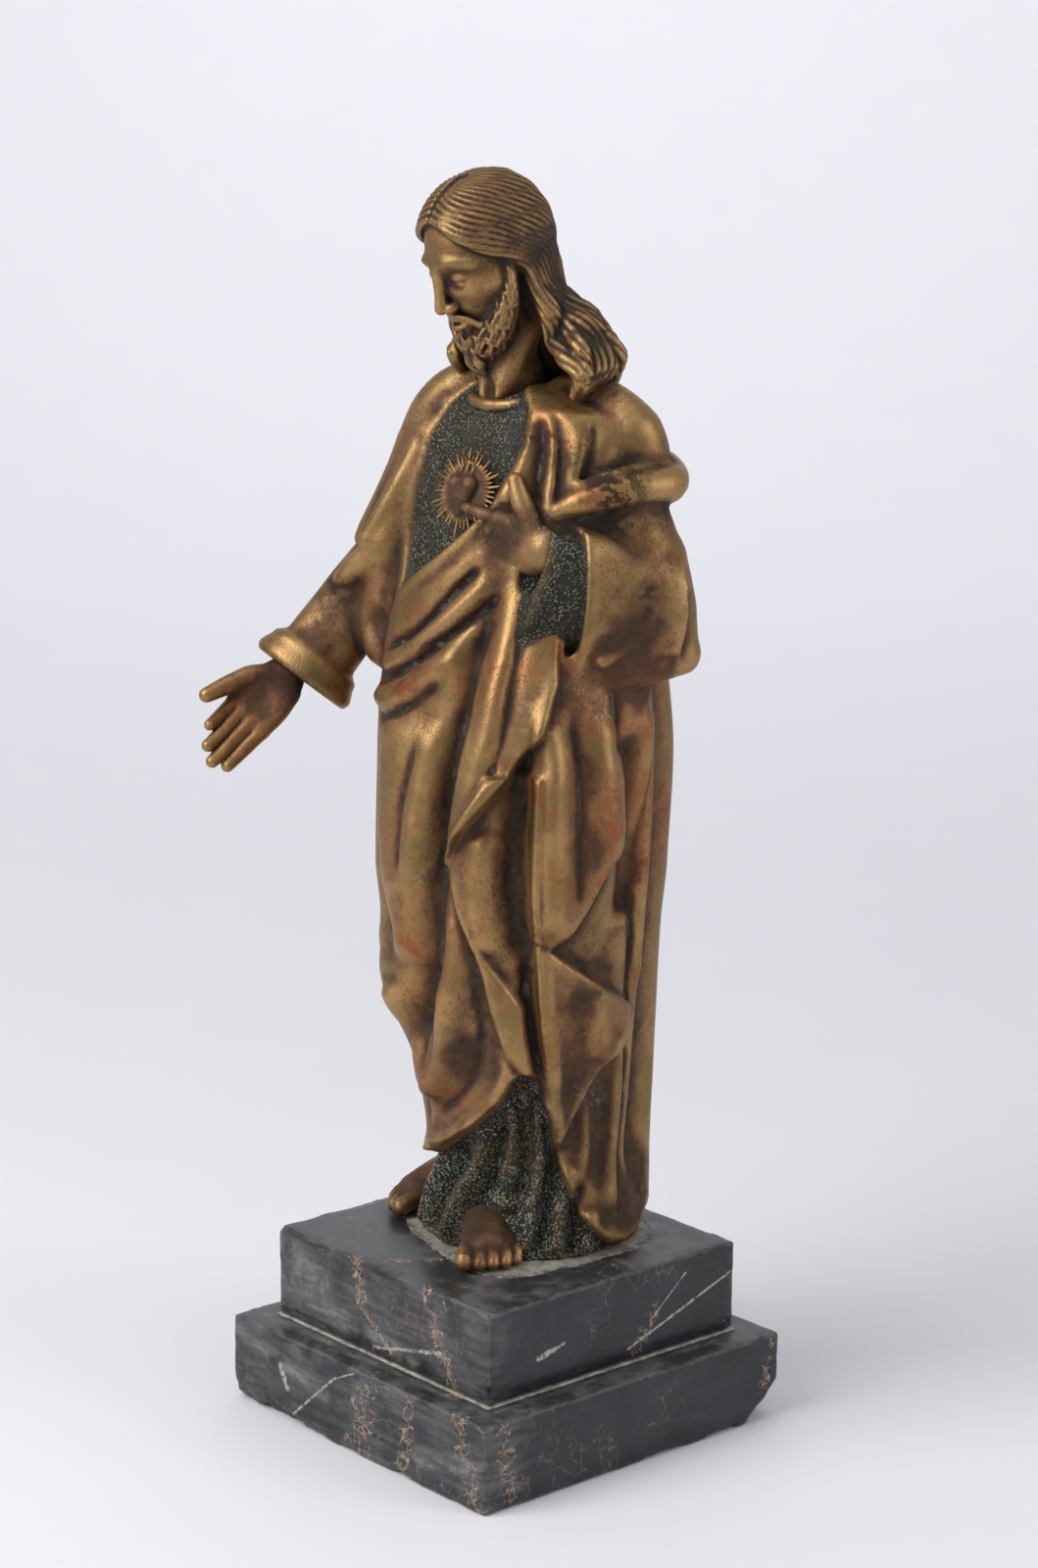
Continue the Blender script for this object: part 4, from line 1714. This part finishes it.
def worn_marble():
    """Black marble with gold and white veins, dusty and worn at its edges."""
    look = bpy.context.scene.statuette_marble
    paint = Paint("worn_marble", look)
    smoky = paint.noise(9, 5, 0.6, 0.3)
    colour = paint.mixed(paint.noise(34, 5, 0.62, 0.3).rise(0.36, 0.66), "black", "blue_grey")
    colour = paint.mixed(smoky.rise(0.45, 0.75) * 0.35, colour, "blue_grey")
    x = paint.axis("X")
    y = paint.axis("Y")
    z = paint.axis("Z")

    # Veins run along the borders of warped cells, and knot together in a few places.
    warp = paint.noise(16, 4.0, 0.6, output="Color")
    pulled = paint.vector("SUBTRACT", warp, (0.5, 0.5, 0.5))
    place = paint.vector("ADD", paint.place, paint.scaled(pulled, VEIN_BEND))
    net = paint.cells(11, "DISTANCE_TO_EDGE", 1.0, place)
    thread = paint.cells(5.2, "DISTANCE_TO_EDGE", 1.0, place)
    wander = paint.noise(7, 4, 0.65)
    knots = strokes(paint, VEIN_KNOTS, wander)
    gold_net = thread.rise(0.05, 0.008) * knots * 0.85
    gold_net = gold_net.most(net.rise(0.034, 0.006) * (knots * 3).least(1))
    strays = net.rise(0.02, 0.0) * paint.noise(30, 3, 0.6).rise(0.47, 0.62)
    gold = gold_net.most(strays * 0.55)
    gold_tone = paint.mixed(paint.noise(5).rise(0.4, 0.6), "gold_vein", "pale_vein")
    colour = paint.mixed(gold, colour, gold_tone)
    broken = paint.noise(2.2, 4, 0.7).rise(0.34, 0.52)
    pale = strokes(paint, PALE_STREAKS, paint.noise(4, 4, 0.7)) * broken
    colour = paint.mixed(pale, colour, "white_vein")

    # Dust lies on the ledges, low on the front, and in a haze.
    facing = paint.node("ShaderNodeNewGeometry", {}, {}, "Normal")
    up = paint.node("ShaderNodeSeparateXYZ", {}, {0: facing}, "Z")
    hazy = paint.noise(17, 5, 0.66, 0.2)
    brushed = paint.noise(3, 4, 0.7, 0.3, paint.vector("MULTIPLY", paint.place, (0.14, 0.14, 1)))
    front = (y + 0.5 * hazy).rise(-50, -66)
    dusty = up.rise(0.5, 0.9) * (0.08 + 0.34 * hazy.rise(0.42, 0.68))
    dusty = dusty.most(front * (hazy * 0.5 + brushed * 0.5).rise(0.42, 0.66) * 0.45)
    dusty = dusty.most(brushed.rise(0.5, 0.75) * 0.08)
    wiped = strokes(paint, DUSTY_STROKES, hazy) * (0.5 + 0.5 * brushed.rise(0.4, 0.6)) * hazy.rise(0.3, 0.6)
    dusty = dusty.most(wiped)
    colour = paint.mixed(dusty * look.dust, colour, "dust_colour")

    # Worn arrises and chips are pale, and the chipped places rusty in parts.
    chipped = (paint.read("crevice") + (smoky - 0.5) * 0.1).rise(0.38, 0.31)
    low_down = z.rise(8, 3) * (y + 0.6 * x).rise(-80, -100)
    raw = chipped * (0.28 + 0.6 * low_down)
    rusty = paint.noise(6, 4, 0.6).rise(0.42, 0.6) * low_down
    raw_tone = paint.mixed(rusty, "raw_stone", "rust")
    colour = paint.mixed(raw * (0.3 + 0.6 * paint.noise(2.2, 4, 0.7)), colour, raw_tone)

    roughness = 0.24 + dusty * 0.6 + raw * 0.5 + hazy * 0.14 + gold * 0.12
    relief = paint.noise(0.8, 4, 0.6) * (0.1 + raw) + gold * 0.3 + hazy * 0.2
    return paint.finish(colour, roughness, 0.0, paint.bump(relief, 0.16))


def strokes(paint, rows, wander):
    """How much of each spot is covered by strokes, each given by its two ends and its width."""
    cover = paint.streak(*rows[0], wander)
    for row in rows[1:]:
        cover = cover.most(paint.streak(*row, wander))
    return cover


# How far the marble's noise pulls the veins aside, in metres.
VEIN_BEND = 0.022
# Strokes on the plinth: two ends in millimetres from the middle of its underside, and a width.
VEIN_KNOTS = [
    ((-17, -66.6, 79), (-10, -66.6, 56), 4.0),
    ((-10, -66.6, 56), (6, -66.6, 42), 2.6),
    ((26, -66.6, 78), (35, -66.6, 60), 3.6),
    ((35, -66.6, 60), (46, -66.6, 36), 5.0),
    ((6, -80, 30), (4, -80, 2), 9.0),
    ((36, -80, 36), (31, -80, 2), 5.0),
    ((63, -80, 36), (74, -80, 4), 6.0),
    ((80, -71, 36), (80, -67, 4), 4.5),
    ((80, 71, 14), (80, 75, 32), 3.0),
    ((66.6, 12, 40), (66.6, 22, 56), 4.0),
    ((-14, -68, 77), (8, -40, 77), 3.0),
    ((-80, 22, 38), (-80, 6, 2), 7.0),
    ((-66.6, -22, 77), (-66.6, -8, 42), 5.0),
    ((-18, 80, 36), (-30, 80, 2), 7.0),
    ((44, 66.6, 77), (32, 66.6, 42), 5.0),
]
PALE_STREAKS = [
    ((-4, -66.6, 41), (38, -66.6, 51), 0.9),
    ((-40, -80, 4), (-13, -80, 28), 0.7),
    ((-13, -80, 28), (18, -80, 43), 0.6),
    ((66.6, -41, 51), (66.6, -28, 54), 1.3),
    ((66.6, 7, 43), (66.6, 65, 63), 0.7),
    ((66.6, 19, 52), (66.6, 38, 68), 0.5),
    ((-48, -80, 23), (-43, -80, 14), 1.8),
    ((-80, -50, 10), (-80, 30, 28), 0.8),
    ((-60, 80, 10), (30, 80, 30), 0.8),
]
DUSTY_STROKES = [
    ((-66, -66.6, 66), (-40, -66.6, 58), 13.0),
    ((-60, -66.6, 52), (-20, -66.6, 47), 10.0),
    ((-34, -66.6, 50), (20, -66.6, 43), 6.0),
    ((-70, -70, 38), (0, -70, 38), 5.0),
    ((0, -70, 38), (70, -70, 38), 3.0),
    ((70, -66, 38), (70, 66, 38), 3.0),
    ((-80, -80, 30), (-20, -80, 20), 6.0),
    ((40, -80, 12), (80, -80, 20), 6.0),
]


def setting_plaster():
    """Off-white plaster, grimy where it is thin."""
    paint = Paint("setting_plaster", bpy.context.scene.statuette_marble)
    patchy = paint.noise(4, 5, 0.65, 0.5)
    grit = paint.noise(0.7, 4, 0.7)
    colour = paint.mixed(patchy.rise(0.35, 0.65), "plaster", "grimy_plaster")
    colour = paint.mixed(grit.rise(0.55, 0.7) * 0.4, colour, "rust")
    low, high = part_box("plaster_bed")
    thickness = (paint.axis("Z") - low.z / MILLIMETRE) / ((high.z - low.z) / MILLIMETRE)
    thin = (thickness + (patchy - 0.5) * 2.4 + (grit - 0.5) * 1.2).rise(0.95, 0.2) * thickness.rise(-3, -2)
    colour = paint.mixed(thin * 0.8, colour, "grimy_plaster")
    colour = paint.mixed(thin * patchy.rise(0.42, 0.6) * 0.9, colour, "blue_grey")
    roughness = 0.8 + (grit - 0.5) * 0.2
    return paint.finish(colour, roughness, 0.0, paint.bump(grit + patchy, 0.3))


def studio_floor():
    """Plain matt paper, pale and faintly cool."""
    paint = Paint("studio_floor", bpy.context.scene.statuette_stage)
    fibre = paint.noise(60, 4, 0.5)
    colour = paint.mixed(fibre.rise(0.3, 0.7) * 0.1, "paper", "paper_shade")
    return paint.finish(colour, 0.75, 0.0, paint.bump(paint.noise(2, 3, 0.5), 0.02))


# The stage.

BEND_STEPS = 16
BACKDROP_AWAY = 3.0


def swept_backdrop(width, front, back, rise, bend):
    """A sheet of paper that lies under the plinth and curves up behind it, away from the camera."""
    yaw = math.radians(CAMERA_YAW)
    behind = (-math.sin(yaw), math.cos(yaw))
    across = (math.cos(yaw), math.sin(yaw))
    profile = [(-front, 0.0), (back - bend, 0.0)]
    for angle in np.linspace(0, math.pi / 2, BEND_STEPS + 1)[1:]:
        profile.append((back - bend + bend * math.sin(angle), bend - bend * math.cos(angle)))
    profile.append((back, rise))
    places = []
    for distance, height in profile:
        for side in (-width / 2, width / 2):
            x, y = (behind[k] * distance + across[k] * side for k in range(2))
            places.append((x, y, height))
    faces = [(k, k + 1, k + 3, k + 2) for k in range(0, len(places) - 2, 2)]
    mesh = bpy.data.meshes.new("studio_paper")
    mesh.from_pydata(places, [], faces)
    mesh.shade_smooth()
    paper = bpy.data.objects.new("studio_paper", mesh)
    bpy.context.scene.collection.objects.link(paper)
    mesh.materials.append(studio_floor())
    return paper


# The photograph's view: where the lens is, which way it looks, and its length in pixels.
CAMERA_PLACE = (1047.6, -920.76, 576.05)
CAMERA_YAW = 48.563
CAMERA_PITCH = 12.611
CAMERA_ROLL = 0.699
PHOTO_HEIGHT = 1600
FOCAL_PIXELS = 3656.5
SENSOR_HEIGHT = 36.0


def set_camera():
    """The camera at the photograph's viewing angle."""
    lens = bpy.data.cameras.new("camera")
    lens.sensor_fit = "VERTICAL"
    lens.sensor_height = SENSOR_HEIGHT
    lens.lens = FOCAL_PIXELS / PHOTO_HEIGHT * SENSOR_HEIGHT
    lens.clip_end = 20
    camera = bpy.data.objects.new("camera", lens)
    bpy.context.scene.collection.objects.link(camera)
    yaw, pitch, roll = (math.radians(angle) for angle in (CAMERA_YAW, CAMERA_PITCH, CAMERA_ROLL))
    back = Vector((math.sin(yaw) * math.cos(pitch), -math.cos(yaw) * math.cos(pitch), math.sin(pitch)))
    right = (-back).cross(Vector((0, 0, 1))).normalized()
    up = right.cross(-back)
    tilted_right = math.cos(roll) * right + math.sin(roll) * up
    tilted_up = math.cos(roll) * up - math.sin(roll) * right
    axes = Matrix((tilted_right, tilted_up, back)).transposed().to_4x4()
    camera.matrix_world = Matrix.Translation(Vector(CAMERA_PLACE) * MILLIMETRE) @ axes
    bpy.context.scene.camera = camera


def softbox(name, azimuth, elevation, away, size, power, colour=(1, 1, 1), middle=(0, 0, 0.26)):
    """A rectangular light aimed at the middle of the figure, or at another place. Azimuth runs
    round from the camera, towards its right."""
    middle = Vector(middle)
    turned = math.radians(CAMERA_YAW + azimuth)
    lift = math.radians(elevation)
    way = Vector((math.sin(turned) * math.cos(lift), -math.cos(turned) * math.cos(lift), math.sin(lift)))
    lamp = bpy.data.lights.new(name, "AREA")
    lamp.shape = "RECTANGLE"
    lamp.size, lamp.size_y = size
    lamp.energy = power
    lamp.color = colour
    made = bpy.data.objects.new(name, lamp)
    facing = way.to_track_quat("Z", "Y").to_matrix().to_4x4()
    made.matrix_world = Matrix.Translation(middle + way * away) @ facing
    bpy.context.scene.collection.objects.link(made)
    return made


ROOM_COLOUR = (0.93, 0.95, 1.0, 1)


def light_room(brightness):
    """An even pale room round everything."""
    world = bpy.data.worlds.new("pale_room")
    world.use_nodes = True
    background = world.node_tree.nodes["Background"]
    background.inputs["Color"].default_value = ROOM_COLOUR
    background.inputs["Strength"].default_value = brightness
    bpy.context.scene.world = world
    bpy.context.scene.view_settings.view_transform = "Standard"


# What a user can change.

def colour_property(name, description, default):
    return bpy.props.FloatVectorProperty(name=name, description=description, subtype="COLOR", size=3,
                                         min=0, max=1, default=default)


class StatuetteMetal(bpy.types.PropertyGroup):
    """The casting's finish."""

    gold: colour_property("Gold", "Rubbed brass", (0.42, 0.25, 0.105))
    olive: colour_property("Olive", "Rubbed brass where it has dulled", (0.25, 0.165, 0.065))
    copper: colour_property("Copper", "Reddened patches", (0.30, 0.105, 0.045))
    bronze: colour_property("Bronze", "Half rubbed metal", (0.14, 0.068, 0.030))
    brown: colour_property("Brown", "Patina on the mantle", (0.085, 0.045, 0.018))
    black: colour_property("Black", "The darkest patina", (0.018, 0.013, 0.009))
    green_black: colour_property("Green black", "Patina on the stippled robe", (0.03, 0.032, 0.022))
    purple: colour_property("Purple brown", "Stained patches", (0.075, 0.034, 0.019))
    soot: colour_property("Soot", "Dirt in the creases", (0.020, 0.012, 0.007))
    verdigris: colour_property("Verdigris", "Green crust in the creases", (0.17, 0.175, 0.13))
    chalk: colour_property("Chalk", "Pale bloom", (0.40, 0.41, 0.36))
    dot_pale: colour_property("Pale dots", "Dots of the stippled robe", (0.33, 0.34, 0.26))
    dot_warm: colour_property("Warm dots", "The brassy ones of those dots", (0.24, 0.19, 0.115))
    wear: bpy.props.FloatProperty(name="Wear", description="How far the ridges are rubbed bright",
                                  default=1.0, min=0, max=3)


class StatuetteMarble(bpy.types.PropertyGroup):
    """The stones and what holds them together."""

    black: colour_property("Black", "The marble's darkest clouds", (0.006, 0.0065, 0.008))
    blue_grey: colour_property("Blue grey", "The marble's pale clouds", (0.017, 0.019, 0.024))
    gold_vein: colour_property("Gold vein", "The knotted veins", (0.30, 0.15, 0.065))
    pale_vein: colour_property("Pale vein", "The veins' pale parts", (0.40, 0.30, 0.19))
    white_vein: colour_property("White vein", "The lone streaks", (0.42, 0.40, 0.36))
    dust_colour: colour_property("Dust", "Dust on the ledges and front", (0.30, 0.29, 0.28))
    raw_stone: colour_property("Raw stone", "Freshly broken marble", (0.32, 0.31, 0.30))
    rust: colour_property("Rust", "Brown stains in the chips", (0.28, 0.13, 0.04))
    plaster: colour_property("Plaster", "Plaster and mortar", (0.48, 0.45, 0.39))
    grimy_plaster: colour_property("Grimy plaster", "Plaster under grime", (0.22, 0.20, 0.16))
    dust: bpy.props.FloatProperty(name="Dust", description="How dusty the marble is", default=0.7,
                                  min=0, max=1, subtype="FACTOR")
    rounding: bpy.props.FloatProperty(name="Edge rounding", description="Radius of the blocks' edges",
                                      default=0.0016, min=0.0005, max=0.004, unit="LENGTH")
    squeeze: bpy.props.FloatProperty(name="Mortar wear", description="How unevenly the mortar stands out",
                                     default=0.0006, min=0, max=0.001, unit="LENGTH")


class StatuetteStage(bpy.types.PropertyGroup):
    """The studio."""

    paper: colour_property("Paper", "The backdrop", (0.80, 0.80, 0.83))
    paper_shade: colour_property("Paper shade", "Faint clouds in the backdrop", (0.74, 0.74, 0.78))
    room: bpy.props.FloatProperty(name="Room light", description="Strength of the even light all round",
                                  default=0.42, min=0, max=3)
    key: bpy.props.FloatProperty(name="Key light", description="Power of the large light on the left",
                                 default=25.0, min=0, max=400, unit="POWER")
    fill: bpy.props.FloatProperty(name="Fill light", description="Power of the light on the right",
                                  default=9.0, min=0, max=400, unit="POWER")
    top: bpy.props.FloatProperty(name="Top light", description="Power of the light overhead",
                                 default=4.0, min=0, max=400, unit="POWER")
    wall: bpy.props.FloatProperty(name="Backdrop light", description="Power of the light on the backdrop",
                                  default=26.0, min=0, max=400, unit="POWER")


# The operators, in the order that main calls them.

class CastRobes(bpy.types.Operator):
    """Sculpt the robed body, its sleeves and collar"""

    bl_idname = "statuette.cast_robes"
    bl_label = "Robes"

    def execute(self, context):
        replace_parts(cast("cast_robes"), "cast_figure")
        return {"FINISHED"}


class CastHead(bpy.types.Operator):
    """Sculpt the head with its hair and beard"""

    bl_idname = "statuette.cast_head"
    bl_label = "Head"

    def execute(self, context):
        cast("cast_head")
        return {"FINISHED"}


class CastHands(bpy.types.Operator):
    """Sculpt both hands"""

    bl_idname = "statuette.cast_hands"
    bl_label = "Hands"

    def execute(self, context):
        cast("cast_right_hand")
        cast("cast_left_hand")
        return {"FINISHED"}


class CastEmblem(bpy.types.Operator):
    """Sculpt the small heart with its ring of rays"""

    bl_idname = "statuette.cast_emblem"
    bl_label = "Emblem"

    def execute(self, context):
        cast("cast_emblem")
        return {"FINISHED"}


class CastFeet(bpy.types.Operator):
    """Sculpt both bare feet"""

    bl_idname = "statuette.cast_feet"
    bl_label = "Feet"

    def execute(self, context):
        cast("cast_left_foot")
        cast("cast_right_foot")
        return {"FINISHED"}


class CutBlocks(bpy.types.Operator):
    """Cut both marble blocks, with their chips and the broken corner"""

    bl_idname = "statuette.cut_blocks"
    bl_label = "Marble blocks"

    def execute(self, context):
        rounding = context.scene.statuette_marble.rounding / MILLIMETRE
        cut_block("lower_marble_block", rounding, BROKEN_CORNER)
        cut_block("upper_marble_block", rounding)
        return {"FINISHED"}


class LayPlaster(bpy.types.Operator):
    """Lay the mortar between the blocks and the plaster under the figure"""

    bl_idname = "statuette.lay_plaster"
    bl_label = "Mortar and plaster"

    def execute(self, context):
        lay_mortar(context.scene.statuette_marble.squeeze / MILLIMETRE)
        lay_plaster(PLASTER_RAGGEDNESS)
        return {"FINISHED"}


class SetStage(bpy.types.Operator):
    """Set up the backdrop, the lights and the camera"""

    bl_idname = "statuette.set_stage"
    bl_label = "Stage"

    def execute(self, context):
        look = context.scene.statuette_stage
        swept_backdrop(width=8.0, front=3.0, back=BACKDROP_AWAY, rise=3.6, bend=1.2)
        light_room(look.room)
        softbox("key_softbox", -62, 38, 1.7, (1.1, 1.4), look.key)
        softbox("fill_softbox", 68, 22, 1.9, (0.7, 1.5), look.fill, (0.97, 0.98, 1.0))
        softbox("top_softbox", 0, 84, 1.6, (1.2, 1.2), look.top)
        yaw = math.radians(CAMERA_YAW)
        wall = (-BACKDROP_AWAY * math.sin(yaw), BACKDROP_AWAY * math.cos(yaw), 1.3)
        softbox("wall_softbox", 0, 30, 1.6, (2.6, 1.2), look.wall, middle=wall)
        set_camera()
        return {"FINISHED"}


STEPS = [CastRobes, CastHead, CastHands, CastEmblem, CastFeet, CutBlocks, LayPlaster, SetStage]
GROUPS = {
    "statuette_metal": StatuetteMetal,
    "statuette_marble": StatuetteMarble,
    "statuette_stage": StatuetteStage,
}


class StatuettePanel(bpy.types.Panel):
    """Sizes and colours, and one button for each piece"""

    bl_idname = "VIEW3D_PT_statuette"
    bl_label = "Cast Figure on Marble Plinth"
    bl_space_type = "VIEW_3D"
    bl_region_type = "UI"
    bl_category = "Statuette"

    def draw(self, context):
        for name, group in GROUPS.items():
            box = self.layout.box()
            box.label(text=group.__doc__)
            for key in group.__annotations__:
                box.prop(getattr(context.scene, name), key)
        for step in STEPS:
            self.layout.operator(step.bl_idname)


def register():
    for kind in (*GROUPS.values(), *STEPS, StatuettePanel):
        bpy.utils.register_class(kind)
    for name, group in GROUPS.items():
        setattr(bpy.types.Scene, name, bpy.props.PointerProperty(type=group))


def unregister():
    for name in GROUPS:
        delattr(bpy.types.Scene, name)
    for kind in (StatuettePanel, *reversed(STEPS), *GROUPS.values()):
        bpy.utils.unregister_class(kind)


def main():
    register()
    bpy.ops.statuette.cast_robes()
    bpy.ops.statuette.cast_head()
    bpy.ops.statuette.cast_hands()
    bpy.ops.statuette.cast_emblem()
    bpy.ops.statuette.cast_feet()
    bpy.ops.statuette.cut_blocks()
    bpy.ops.statuette.lay_plaster()
    bpy.ops.statuette.set_stage()


if __name__ == "__main__":
    main()
